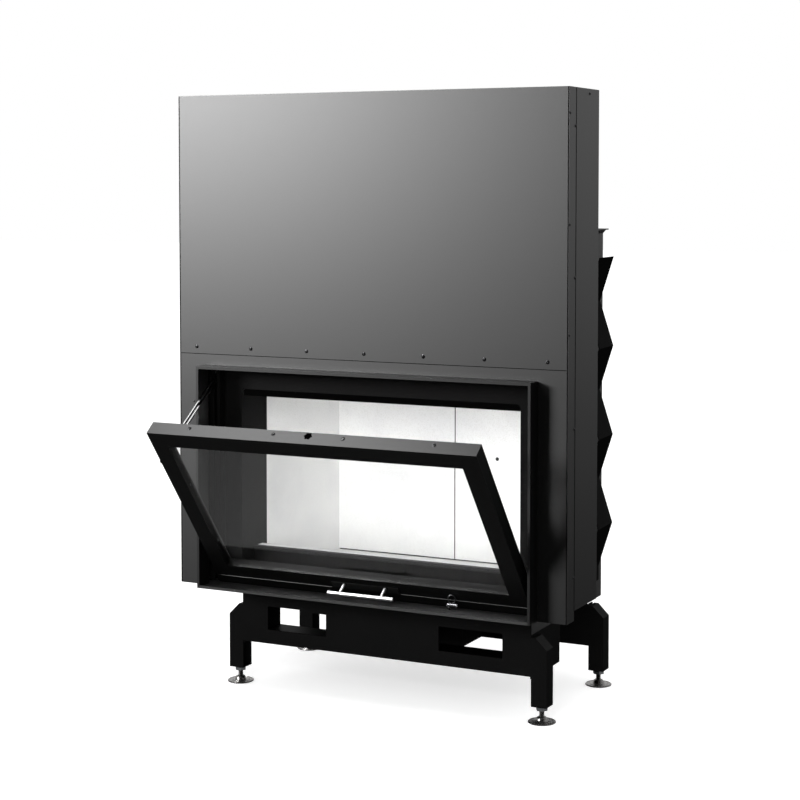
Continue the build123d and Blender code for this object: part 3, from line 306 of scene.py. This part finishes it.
# Paints: dark and light tone, roughness and gloss.
CASING_PAINT = paint("casing_paint", 0.001, 0.0015, 0.42, 0.48)
SURROUND_PAINT = paint("surround_paint", 0.001, 0.002, 0.43, 0.3)
LEDGE_PAINT = paint("ledge_paint", 0.012, 0.018, 0.5, 0.2)
FIREBOX_PAINT = paint("firebox_paint", 0.0015, 0.0025, 0.45, 0.035)
GROOVE_PAINT = paint("groove_paint", 0.0008, 0.0015, 0.6, 0.0)
BODY_PAINT = paint("body_paint", 0.011, 0.02, 0.46, 0.22, 500.0, 0.0002)
FIN_PAINT = fin_paint()
STAND_PAINT = paint("stand_paint", 0.0015, 0.0025, 0.5, 0.03)
DOOR_PAINT = paint("door_paint", 0.001, 0.0018, 0.42, 0.065)
# Dark filler of the lining's joints, and painted shade along the back lining's foot.
SOOT_AND_SHADE = paint("soot_filler_and_shade", 0.004, 0.012, 0.8, 0.05)
# Dead black without gloss: painted shade for the gaps between panels, the slits and the key hole.
SHADE_BLACK = paint("painted_shade_black", 0.0005, 0.001, 0.9, 0.0)

# Metals: colour and roughness.
ZINC = metal("zinc_steel", (0.30, 0.31, 0.32), 0.38, scale=45.0)
FOOT_ZINC = metal("foot_zinc", (0.22, 0.215, 0.21), 0.26, scale=320.0, play=0.16)
OILED_STEEL = metal("oiled_steel", (0.10, 0.095, 0.09), 0.34, scale=120.0)
CAST_IRON = metal("cast_iron", (0.03, 0.03, 0.03), 0.62, scale=160.0)
BRUSHED = metal(
    "brushed_steel", (HANDLE_GREY, HANDLE_GREY, HANDLE_GREY), 0.34,
    stretch=(0.03, 1.0, 1.0), scale=900.0, mirrored=HANDLE_MIRRORED,
)
CHROME = metal("chrome_plate", (0.24, 0.24, 0.25), 0.2, scale=30.0, play=0.03)
SCREW_STEEL = metal("screw_steel", (0.05, 0.05, 0.052), 0.30, scale=300.0)
SCREW_BRIGHT = metal("bright_screw", (0.09, 0.09, 0.093), 0.22, scale=300.0)
# brighter steel for the painted highlight along the door's foot rail
HIGHLIGHT_STEEL = metal("highlight_steel", (0.10, 0.10, 0.10), 0.42, scale=200.0)
STAY_STEEL = metal("stay_steel", (0.06, 0.06, 0.06), 0.42, scale=120.0)
EYE_STEEL = metal("eye_steel", (0.06, 0.06, 0.062), 0.3, scale=200.0)

ROPE = braided_rope()

SLOT_MATERIALS = {
    "casing": CASING_PAINT,
    "firebox_steel": FIREBOX_PAINT,
    "lining": lining_board("lining_board", (0.86, 0.86, 0.855), (0.79, 0.79, 0.795)),
    "stand_steel": STAND_PAINT,
    "lift_paint": STAND_PAINT,
    "zinc_steel": ZINC,
    "roller_steel": ZINC,
    "foot_steel": FOOT_ZINC,
    "chain_steel": OILED_STEEL,
    "weight_iron": CAST_IRON,
    "door_paint": DOOR_PAINT,
    "door_glass": glass_pane(),
    "seal_rope": ROPE,
    "handle_steel": BRUSHED,
    "knob_chrome": CHROME,
}
NODE_MATERIALS = {      # nodes that differ from their slot
    "surround": SURROUND_PAINT,
    "ledge": LEDGE_PAINT,
    "air_wash_strip": GROOVE_PAINT,
    "firebox_body": BODY_PAINT,
    "top_plate": BODY_PAINT,
    "smoke_dome": BODY_PAINT,
    "flue_collar": BODY_PAINT,
    "fin_left": FIN_PAINT,
    "fin_right": FIN_PAINT,
    "stay_left": STAY_STEEL,
    "hinge_pins": SCREW_STEEL,
    "handle_mount": handle_mount_steel(),
}

for part in frame["record"]["subparts"]:
    node = part["node"]
    dressed = NODES[node].data.materials
    dressed.clear()
    dressed.append(NODE_MATERIALS.get(node, SLOT_MATERIALS[part["material_slot"]]))

# ---- edges of the sheet metal ------------------------------------------------------------------
SOFT_EDGES = {          # bevel widths
    "surround": 0.8,
    "door_frame": 0.8,
    "ledge": 0.5,
    "frame_plate": 2.2,
    "top_plate": 0.6,
    "handle_mount": 0.5,
}
for node, width in SOFT_EDGES.items():
    edge = NODES[node].modifiers.new("edge", "BEVEL")
    edge.width = width * MM
    edge.segments = 3
    edge.limit_method = "ANGLE"
    edge.angle_limit = math.radians(40)


# ---- builders ----------------------------------------------------------------------------------
SUNK = 0.3                  # how far a small part starts below the face it stands on


def add_piece(name, bm, body, material, sharp=35.0):
    """Turn a bmesh into an object that rides on a body."""
    bmesh.ops.recalc_face_normals(bm, faces=bm.faces)
    mesh = bpy.data.meshes.new(name)
    bm.to_mesh(mesh)
    bm.free()
    mesh.shade_smooth()
    mesh.set_sharp_from_angle(angle=math.radians(sharp))
    mesh.materials.append(material)
    piece = bpy.data.objects.new(name, mesh)
    bpy.context.scene.collection.objects.link(piece)
    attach(piece, body)
    return piece


def ellipse(degrees, half_x, half_y):
    """A point of an ellipse round the origin."""
    turn = math.radians(degrees)
    return half_x * math.cos(turn), half_y * math.sin(turn)


def rectangle(half_x, half_y):
    return [(-half_x, -half_y), (half_x, -half_y), (half_x, half_y), (-half_x, half_y)]


def lathe(bm, matrix, profile, segments=24, lobes=None):
    """Turn (radius, height) pairs round local Z. lobes maps a profile index to a share that
    pushes that ring's radius in and out six times round."""
    rings = []
    for index, (radius, height) in enumerate(profile):
        if radius == 0:
            rings.append([bm.verts.new(matrix @ Vector((0, 0, height * MM)))])
            continue
        lobe = (lobes or {}).get(index, 0.0)
        ring = []
        for step in range(segments):
            angle = 360 * step / segments
            reach = radius * (1 + lobe * math.cos(math.radians(6 * angle))) * MM
            x, y = ellipse(angle, reach, reach)
            ring.append(bm.verts.new(matrix @ Vector((x, y, height * MM))))
        rings.append(ring)
    for below, above in zip(rings, rings[1:]):
        if len(below) == 1 and len(above) == 1:
            continue
        for step in range(segments):
            after = (step + 1) % segments
            if len(below) == 1:
                bm.faces.new((below[0], above[after], above[step]))
            elif len(above) == 1:
                bm.faces.new((below[step], below[after], above[0]))
            else:
                bm.faces.new((below[step], below[after], above[after], above[step]))


def extrusion(bm, matrix, outline, depth):
    """A closed solid: an outline in local XY, raised along local Z."""
    foot = [bm.verts.new(matrix @ Vector((x * MM, y * MM, 0))) for x, y in outline]
    head = [bm.verts.new(matrix @ Vector((x * MM, y * MM, depth * MM))) for x, y in outline]
    bm.faces.new(list(reversed(foot)))
    bm.faces.new(head)
    for step in range(len(outline)):
        after = (step + 1) % len(outline)
        bm.faces.new((foot[step], foot[after], head[after], head[step]))


def bar(bm, start, along, half_x, half_y, length):
    """A bar of rectangular section, from the middle of its end face."""
    extrusion(bm, frame_at(start, along, TOP), rectangle(half_x, half_y), length)


def soften(bm, edges, width):
    bmesh.ops.bevel(bm, geom=list(edges), offset=width * MM, segments=1, affect="EDGES")


def button_head(bm, centre, normal, radius):
    """Button-head screw with a six-lobed socket."""
    rise = 0.52 * radius
    dome = [ellipse(turn, radius, rise) for turn in (0, 20, 40, 58)]
    profile = [(0, -SUNK), (radius, -SUNK), *dome]
    rim = len(profile)
    profile += [(0.44 * radius, 0.9 * rise), (0.40 * radius, 0.25 * rise), (0, 0.25 * rise)]
    lathe(bm, frame_at(centre, normal), profile, 36, {rim: 0.14, rim + 1: 0.14})


def add_screws(name, body, spots, radius, material=SCREW_STEEL):
    bm = bmesh.new()
    for centre, normal in spots:
        button_head(bm, centre, normal, radius)
    add_piece(name, bm, body, material)


# ---- screws of the cover and the edge strips ---------------------------------------------------
HALF_W = high("strip_right", "x") / MM
COVER_SCREW_X = range(-450, 451, 150)
COVER_SCREW_Z = 828.3
STRIP_SCREW_YZ = [(5.2, z) for z in (888.0, 1127.5, 1368.0)]
SEAM_SCREW_YZ = [(37.5, z) for z in (352.0, 680.0, 1011.0, 1341.0)]
TOP_SCREW_YZ = (124, 1414)

cover_spots = [(place(x, 0, COVER_SCREW_Z), FRONT) for x in COVER_SCREW_X]
add_screws("cover_screws", "firebox", cover_spots, radius=4.4)
for name, side in SIDES.items():
    spots = [
        (place(side * HALF_W, y, z), ACROSS * side)
        for y, z in [*STRIP_SCREW_YZ, *SEAM_SCREW_YZ, TOP_SCREW_YZ]
    ]
    add_screws(f"strip_screws_{name}", "firebox", spots, radius=3.4)

# ---- painted shade in the gaps between the casing's panels, and dark packers in slits ----------
COVER_SEAM_Z = low("cover_plate", "z") / MM - 0.4
CASING_FOOT = low("strip_right", "z") / MM
CASING_HEAD = high("strip_right", "z") / MM
SIDE_FOOT = low("side_right", "z") / MM
SIDE_SEAM_Y = depth_of(low("side_right", "y")) - 0.2
LEDGE_HEAD = high("ledge", "z") / MM
LEDGE_REAR = depth_of(high("ledge", "y"))
SIDE_SEAM = 1.33            # half widths
CORNER_SEAM = 1.12
COVER_SEAM = 0.7
SEAM_RISE = 0.12            # how far a seam's dark strip stands out of the sheet
CORNER_IN = 2.0             # from the casing's side to the seam at its front corner
# Dark packers, painted shade that closes the slits behind the ledge and under the guide rail: the place of their
# first end, then half sizes and length.
LEDGE_PACKER_AT = (441, LEDGE_REAR + 1, LEDGE_HEAD + 1.5)
LEDGE_PACKER = (5.5, 1.2, 58)
RAIL_PACKER_AT = (439, 33, LEDGE_HEAD - 1.5)
RAIL_PACKER = (1.4, 2.8, 26)


def seam(bm, start, along, across, half_w, out, length):
    """A strip of painted gap shade let into a panel. out is 1 where local Y faces out of the panel, else -1."""
    outline = [(-half_w, -SUNK * out), (half_w, -SUNK * out)]
    outline += [(half_w, SEAM_RISE * out), (-half_w, SEAM_RISE * out)]
    extrusion(bm, frame_at(start, along, across), outline, length)


bm = bmesh.new()
for side in SIDES.values():
    side_start = place(side * HALF_W, SIDE_SEAM_Y, SIDE_FOOT)
    seam(bm, side_start, TOP, FRONT, SIDE_SEAM, -side, CASING_HEAD - SIDE_FOOT - 1)
    corner_start = place(side * (HALF_W - CORNER_IN), 0, CASING_FOOT)
    seam(bm, corner_start, TOP, ACROSS, CORNER_SEAM, -1, CASING_HEAD - CASING_FOOT - 1)
cover_start = place(CORNER_IN - HALF_W, 0, COVER_SEAM_Z)
seam(bm, cover_start, ACROSS, TOP, COVER_SEAM, 1, 2 * (HALF_W - CORNER_IN))
for side in SIDES.values():
    for (x, y, z), along, sizes in (
        (LEDGE_PACKER_AT, ACROSS * -side, LEDGE_PACKER),
        (RAIL_PACKER_AT, -FRONT, RAIL_PACKER),
    ):
        bar(bm, place(side * x, y, z), along, *sizes)
add_piece("panel_gap_shade", bm, "firebox", SHADE_BLACK)

# ---- screws of the back and the front plate ----------------------------------------------------
BACK_Y = depth_of(high("casing_back", "y"))
BACK_HEAD_X = range(-450, 451, 180)
BACK_HEAD_Z = 1411
BACK_SIDE_X = 478
BACK_SIDE_Z = range(310, 1300, 245)
PLATE_SCREW_AT = (-458, 0, 697)

back_spots = [(place(x, BACK_Y, BACK_HEAD_Z), -FRONT) for x in BACK_HEAD_X]
for side in SIDES.values():
    back_spots += [(place(side * BACK_SIDE_X, BACK_Y, z), -FRONT) for z in BACK_SIDE_Z]
add_screws("back_screws", "firebox", back_spots, radius=4.0)
add_screws("plate_screw", "firebox", [(place(*PLATE_SCREW_AT), FRONT)], radius=2.6)

# ---- the door's top edge -----------------------------------------------------------------------
DOOR_HEAD = 495.0
DOOR_SCREW_X = (-302, -86, 86, 302)
DOOR_SCREW_SINK = 3.0       # the door's top edge is behind the hinge axis
LOCK_SINK = 4.0
# The lock is a collar round a star-shaped key hole, both in dead black: the hole's darkness is painted shade.
LOCK = [(0, -SUNK), (8.6, -SUNK), (8.6, 1.0), (7.8, 1.5), (5.4, 1.5), (5.0, 0.15), (0, 0.15)]
LOCK_LOBES = {1: 0.14, 2: 0.14, 3: 0.14, 4: 0.1, 5: 0.1}

door_spots = [(on_door(x, DOOR_HEAD, -DOOR_SCREW_SINK), UP_DOOR) for x in DOOR_SCREW_X]
add_screws("door_top_screws", "door", door_spots, 4.6, SCREW_BRIGHT)

bm = bmesh.new()
lathe(bm, frame_at(on_door(0, DOOR_HEAD, -LOCK_SINK), UP_DOOR), LOCK, 48, LOCK_LOBES)
add_piece("door_lock", bm, "door", SHADE_BLACK)

# ---- joints and pin of the lining --------------------------------------------------------------
REAR_LINING_Y = depth_of(low("back_lining_left", "y"))
LINING_FOOT = low("back_lining_left", "z") / MM
LINING_HEAD = high("lining_left", "z") / MM
LINING_HALF_T = 12.0
# Section of the upright joint from mid-board: a broad face in front of a thin web.
JOINT = [(-1.3, -12.4), (1.3, -12.4), (1.3, -12.05), (0.7, -12.05)]
JOINT += [(0.7, 11.0), (-0.7, 11.0), (-0.7, -12.05), (-1.3, -12.05)]
FOOT_JOINT_AT = (-330.0, REAR_LINING_Y - 1.1, LINING_FOOT + 1.3)
FOOT_JOINT = (1.2, 1.0, 660.0)      # half sizes and length
PIN_AT = (116, REAR_LINING_Y, 528)

bm = bmesh.new()
upright = frame_at(place(0, REAR_LINING_Y + LINING_HALF_T, LINING_FOOT), TOP)
extrusion(bm, upright, JOINT, LINING_HEAD - LINING_FOOT)
# painted shade: a dark strip where the back lining meets the floor boards
bar(bm, place(*FOOT_JOINT_AT), ACROSS, *FOOT_JOINT)
soften(bm, bm.edges, 0.1)
add_piece("lining_joints", bm, "firebox", SOOT_AND_SHADE)
add_screws("lining_pin", "firebox", [(place(*PIN_AT), FRONT)], radius=4.7)

# ---- feet --------------------------------------------------------------------------------------
DISC = [(0, 0), (30.5, 0), (32, 0.9), (32, 2.4), (31, 3.6), (28.5, 4.0), (27.5, 3.3), (23, 3.3)]
HUB = [(22, 4.2), (15, 4.6), (13.5, 6.0), (12.6, 9.5), (11.0, 12.2), (8.2, 13.8), (6.6, 14.6)]
NECK = [(5.9, 15.2)]
THREAD_R = 6.0
THREAD_FOOT = 16.0
THREAD_HEAD = 77.0
THREAD_PITCH = 1.75
THREAD_DEPTH = 0.75
SPINDLE_HEAD = [(5.2, 78.0), (0, 78.0)]


def add_foot(name):
    """Turned foot: disc, hub and threaded spindle, in place of the plain one."""
    lowest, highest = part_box(name)
    centre = Vector(((lowest[0] + highest[0]) / 2, (lowest[1] + highest[1]) / 2, 0.0))
    profile = DISC + HUB + NECK
    height = THREAD_FOOT
    while height < THREAD_HEAD:
        profile += [(THREAD_R - THREAD_DEPTH, height), (THREAD_R, height + THREAD_PITCH / 2)]
        height += THREAD_PITCH
    bm = bmesh.new()
    lathe(bm, Matrix.Translation(centre), profile + SPINDLE_HEAD, 32)
    piece = add_piece(f"{name}_turned", bm, name, FOOT_ZINC, 30.0)
    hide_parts(name)


for end in ("front", "rear"):
    for side in SIDES:
        add_foot(f"foot_{end}_{side}")

# ---- bolts that hold the legs to the stand -----------------------------------------------------
LEG_FACES = ((375.0, 107.0), (380.0, 461.0))    # X and Y of the front and rear legs' inner face
BOLT_Z = (122.0, 172.0)
WASHER_R = 9.0
WASHER_T = 1.2
BOLT_R = 6.9
BOLT_T = 5.0
FOLD = 0.9                  # edges turned by more than this angle are softened

hexagon = [ellipse(60 * corner, BOLT_R, BOLT_R) for corner in range(6)]
washer = [(0, -SUNK), (WASHER_R, -SUNK), (WASHER_R, WASHER_T), (0, WASHER_T)]
bm = bmesh.new()
for inner, middle_y in LEG_FACES:
    for side in SIDES.values():
        for z in BOLT_Z:
            spot = frame_at(place(side * inner, middle_y, z), ACROSS * -side)
            lathe(bm, spot, washer)
            extrusion(bm, spot @ Matrix.Translation((0, 0, WASHER_T * MM)), hexagon, BOLT_T)
soften(bm, [edge for edge in bm.edges if edge.calc_face_angle(0) > FOLD], 0.4)
add_piece("leg_bolts", bm, "firebox", ZINC)

# ---- rope seal ---------------------------------------------------------------------------------
ROPE_IN = 7.0               # from the seal's outline to the rope's middle
SEAL_X = 389.0 - ROPE_IN
SEAL_LOW = 12.0 + ROPE_IN
SEAL_HIGH = 472.0 - ROPE_IN
SEAL_BEND = 14.0
SEAL_U = -16.7
ROPE_STEP = 2.6
ROPE_TURN = 18              # degrees between the points round the rope
ROPE_WIDE = 6.6
ROPE_DEEP = 1.55
WEAVE_WIDE = 0.06           # how far the braid swells the rope
WEAVE_DEEP = 0.16
WEAVE_STRANDS = 5


def rounded_loop(half_x, low_v, high_v, bend, step):
    """Evenly spaced points round a rectangle with round corners."""
    x_in, low_in, high_in = half_x - bend, low_v + bend, high_v - bend
    corners = [(x_in, low_in, -90), (x_in, high_in, 0), (-x_in, high_in, 90), (-x_in, low_in, 180)]
    dense = []
    for x, v, start in corners:
        for turn in range(start, start + 91, 5):
            dx, dv = ellipse(turn, bend, bend)
            dense.append(Vector((x + dx, v + dv, 0)))
    dense.append(dense[0].copy())
    spans = [(after - before).length for before, after in zip(dense, dense[1:])]
    total = sum(spans)
    count = round(total / step)
    points = []
    index, passed = 0, 0.0
    for k in range(count):
        target = total * k / count
        while passed + spans[index] < target:
            passed += spans[index]
            index += 1
        points.append(dense[index].lerp(dense[index + 1], (target - passed) / spans[index]))
    return points


def add_rope():
    """Braided rope pressed into the door's groove, in place of the flat seal."""
    points = rounded_loop(SEAL_X, SEAL_LOW, SEAL_HIGH, SEAL_BEND, ROPE_STEP)
    count = len(points)
    bm = bmesh.new()
    rings = []
    for k, point in enumerate(points):
        ahead = (points[(k + 1) % count] - points[k - 1]).normalized()
        side = Vector((ahead.y, -ahead.x, 0))
        ring = []
        for turn in range(0, 360, ROPE_TURN):
            strand = math.cos(math.radians(WEAVE_STRANDS * turn))
            weave = math.cos(math.pi * k / 2) * strand
            across, out = ellipse(
                turn, ROPE_WIDE * (1 + WEAVE_WIDE * weave), ROPE_DEEP * (1 + WEAVE_DEEP * weave)
            )
            spot = point + side * across
            ring.append(bm.verts.new(on_door(spot.x, spot.y, SEAL_U + out)))
        rings.append(ring)
    for here, there in zip(rings, rings[1:] + rings[:1]):
        for step in range(len(here)):
            after = (step + 1) % len(here)
            bm.faces.new((here[step], here[after], there[after], there[step]))
    rope = add_piece("rope_seal", bm, "door", ROPE, 180.0)
    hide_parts("door_seal")


add_rope()

# ---- glass clips inside the door ---------------------------------------------------------------
REBATE_X = 375.0
REBATE_HIGH = 465.0
SIDE_CLIP_V = (120.0, 310.0)
HEAD_CLIP_X = (-250.0, 0.0, 250.0)
CLIP_T = 1.4
CLIP = [(0.0, -9.0), (CLIP_T, -9.0), (CLIP_T, 6.3), (10.0, 6.3), (10.0, 7.8), (0.0, 7.8)]
CLIP_W = 22.0

clip_spots = [(side * REBATE_X, v, ACROSS * side) for side in SIDES.values() for v in SIDE_CLIP_V]
clip_spots += [(x, REBATE_HIGH, UP_DOOR) for x in HEAD_CLIP_X]
bm = bmesh.new()
clip_screws = []
for x, v, wall in clip_spots:
    along = wall.cross(OUT_DOOR)
    axes = Matrix((-wall, OUT_DOOR, along)).transposed().to_4x4()
    start = on_door(x, v, 0) - along * CLIP_W / 2 * MM
    extrusion(bm, Matrix.Translation(start) @ axes, CLIP, -CLIP_W)
    clip_screws.append((on_door(x, v, -1) - wall * CLIP_T * MM, -wall))
soften(bm, bm.edges, 0.3)
add_piece("glass_clips", bm, "door", DOOR_PAINT)
add_screws("glass_clip_screws", "door", clip_screws, radius=3.4)

# ---- eye on the air lever's knob ---------------------------------------------------------------
KNOB_X = (low("air_knob", "x") + high("air_knob", "x")) / 2 / MM
KNOB_HEAD = high("air_knob", "z") / MM
EYE_R = 9.3
EYE_WIRE = 1.5
EYE_AT = (KNOB_X - 2, 5, KNOB_HEAD + 8.2)

wire = [ellipse(turn, EYE_WIRE, EYE_WIRE) for turn in range(0, 361, 30)]
bm = bmesh.new()
lathe(bm, frame_at(place(*EYE_AT), FRONT), [(EYE_R + out, height) for out, height in wire], 32)
bmesh.ops.remove_doubles(bm, verts=bm.verts, dist=1e-6)
add_piece("knob_eye", bm, "air_lever", EYE_STEEL)

# ---- bright strip along the door's foot rail: painted highlight of its top edge ----------------
DOOR_HALF = high("door_frame", "x") / MM
RAIL_V = 19.3
RAIL_U = 22.8
RAIL_INNER = 90.0           # the strip runs outside the handle's back plate
RAIL_OUTER = DOOR_HALF - 4.0
# section of a brighter steel strip: a painted highlight on the rail's top edge
HIGHLIGHT_STRIP = [(-0.5, -0.5), (0.3, -0.5), (0.5, 0.0), (0.3, 0.5), (-0.5, 0.5)]

axes = Matrix((UP_DOOR, OUT_DOOR, ACROSS)).transposed().to_4x4()
bm = bmesh.new()
for start in (-RAIL_OUTER, RAIL_INNER):
    at = Matrix.Translation(on_door(start, RAIL_V, RAIL_U))
    extrusion(bm, at @ axes, HIGHLIGHT_STRIP, RAIL_OUTER - RAIL_INNER)
add_piece("foot_rail_highlight", bm, "door", HIGHLIGHT_STEEL)

# ---- stage -------------------------------------------------------------------------------------
CAMERA_AT = (1.9267, FRONT_Y - 3.6958, 1.2060)
CAMERA_TURN = math.radians(26.40)
CAMERA_DOWN = math.radians(3.05)
LENS = 82.467
SENSOR = 36.0
SHIFT_UP = -0.14265
FLOOR_REACH = 30.0
FLOOR_GREY = 0.88
FLOOR_GLOW = 0.42
WHITE = (1.0, 1.0, 1.0)
SOFTBOXES = (   # name, place, aim, size, radiance, kind of ray that misses it
    ("key", (-3.43, FRONT_Y - 4.38, 2.175), (0, FRONT_Y, 1.1), (1.9, 1.355), 73.0, "diffuse"),
    ("top", (-1.9, FRONT_Y + 0.25, 4.0), (0, FRONT_Y, 0.7), (3.4, 0.8), 74.0, "diffuse"),
    ("fill", (1.1, FRONT_Y - 4.8, 1.6), (0, 0, 0.6), (3.0, 2.6), 11.2, "glossy"),
)


def add_camera():
    data = bpy.data.cameras.new("camera")
    data.sensor_width = SENSOR
    data.lens = LENS
    data.shift_y = SHIFT_UP
    data.clip_end = 2 * FLOOR_REACH
    camera = bpy.data.objects.new("camera", data)
    camera.location = CAMERA_AT
    camera.rotation_euler = (math.pi / 2 - CAMERA_DOWN, 0.0, CAMERA_TURN)
    bpy.context.scene.collection.objects.link(camera)
    bpy.context.scene.camera = camera


def add_floor():
    """Pale floor that glossy and see-through surfaces miss: add_sky's ground stands in for it."""
    shader = Shader(
        "floor_paint", Roughness=0.9, Specular_IOR_Level=0.0, Emission_Strength=FLOOR_GLOW,
        Base_Color=(FLOOR_GREY, FLOOR_GREY, FLOOR_GREY), Emission_Color=WHITE,
    )
    mesh = bpy.data.meshes.new("floor")
    corners = [(x * FLOOR_REACH, y * FLOOR_REACH, 0) for x, y in rectangle(1, 1)]
    mesh.from_pydata(corners, [], [(0, 1, 2, 3)])
    mesh.materials.append(shader.material)
    floor = bpy.data.objects.new("floor", mesh)
    floor.visible_glossy = False
    floor.visible_transmission = False
    bpy.context.scene.collection.objects.link(floor)


def add_softbox(name, at, aim, size, radiance, missed_by):
    """An area light as bright as its radiance says, whatever its size."""
    data = bpy.data.lights.new(name, "AREA")
    data.shape = "RECTANGLE"
    data.size, data.size_y = size
    data.energy = radiance * math.pi * size[0] * size[1]
    lamp = bpy.data.objects.new(name, data)
    lamp.location = at
    lamp.rotation_euler = (Vector(aim) - Vector(at)).to_track_quat("-Z", "Y").to_euler()
    setattr(lamp, f"visible_{missed_by}", False)
    bpy.context.scene.collection.objects.link(lamp)


def add_sky():
    """White all round for the eye and for matt surfaces. Glossy ones mirror a darker studio,
    with a lit wall behind the object, two sides, a ceiling and a ground."""
    world = bpy.data.worlds.new("studio")
    world.use_nodes = True
    world.cycles.sampling_method = "NONE"
    bpy.context.scene.world = world
    sky = Nodes(world.node_tree)
    direction = sky.add("ShaderNodeTexCoord").outputs["Generated"]
    axes = sky.add("ShaderNodeSeparateXYZ", {"Vector": direction}).outputs
    x, y, z = axes["X"], axes["Y"], axes["Z"]

    def fade(value, from_low, from_high, to_low, to_high):
        """Ease from one brightness to another along part of an axis."""
        return sky.spread(value, to_low, to_high, from_low, from_high, smooth=True)

    wall = sky.calculate("MULTIPLY", fade(y, 0.0, 0.7, 0.0, 1.0), fade(z, -0.22, 0.1, 0.02, 0.85))
    sideways = sky.calculate("POWER", x, 2.0)
    sides = sky.calculate(
        "MULTIPLY", fade(sideways, 0.5, 0.92, 0.0, 0.6), fade(z, -0.5, 0.1, 0.15, 1.0)
    )
    ceiling = fade(z, 0.5, 0.95, 0.0, 0.5)
    ground = fade(z, -0.95, -0.6, 0.30, 0.0)
    studio = sky.calculate("ADD", wall, sides)
    studio = sky.calculate("ADD", studio, sky.calculate("ADD", ceiling, ground))

    path = sky.add("ShaderNodeLightPath").outputs
    glossy = sky.calculate("MINIMUM", path["Glossy Depth"], 1.0)
    last_glossy = sky.calculate("SUBTRACT", 1.0, path["Is Diffuse Ray"])
    glossy = sky.calculate("MULTIPLY", glossy, last_glossy)
    matt = sky.calculate("SUBTRACT", 1.0, glossy)
    seen = sky.calculate("ADD", matt, sky.calculate("MULTIPLY", studio, glossy))
    background = sky.tree.nodes["Background"]
    sky.feed(WHITE, background.inputs["Color"])
    sky.feed(seen, background.inputs["Strength"])


add_camera()
add_floor()
for softbox in SOFTBOXES:
    add_softbox(*softbox)
add_sky()
bpy.context.scene.view_settings.view_transform = "Standard"
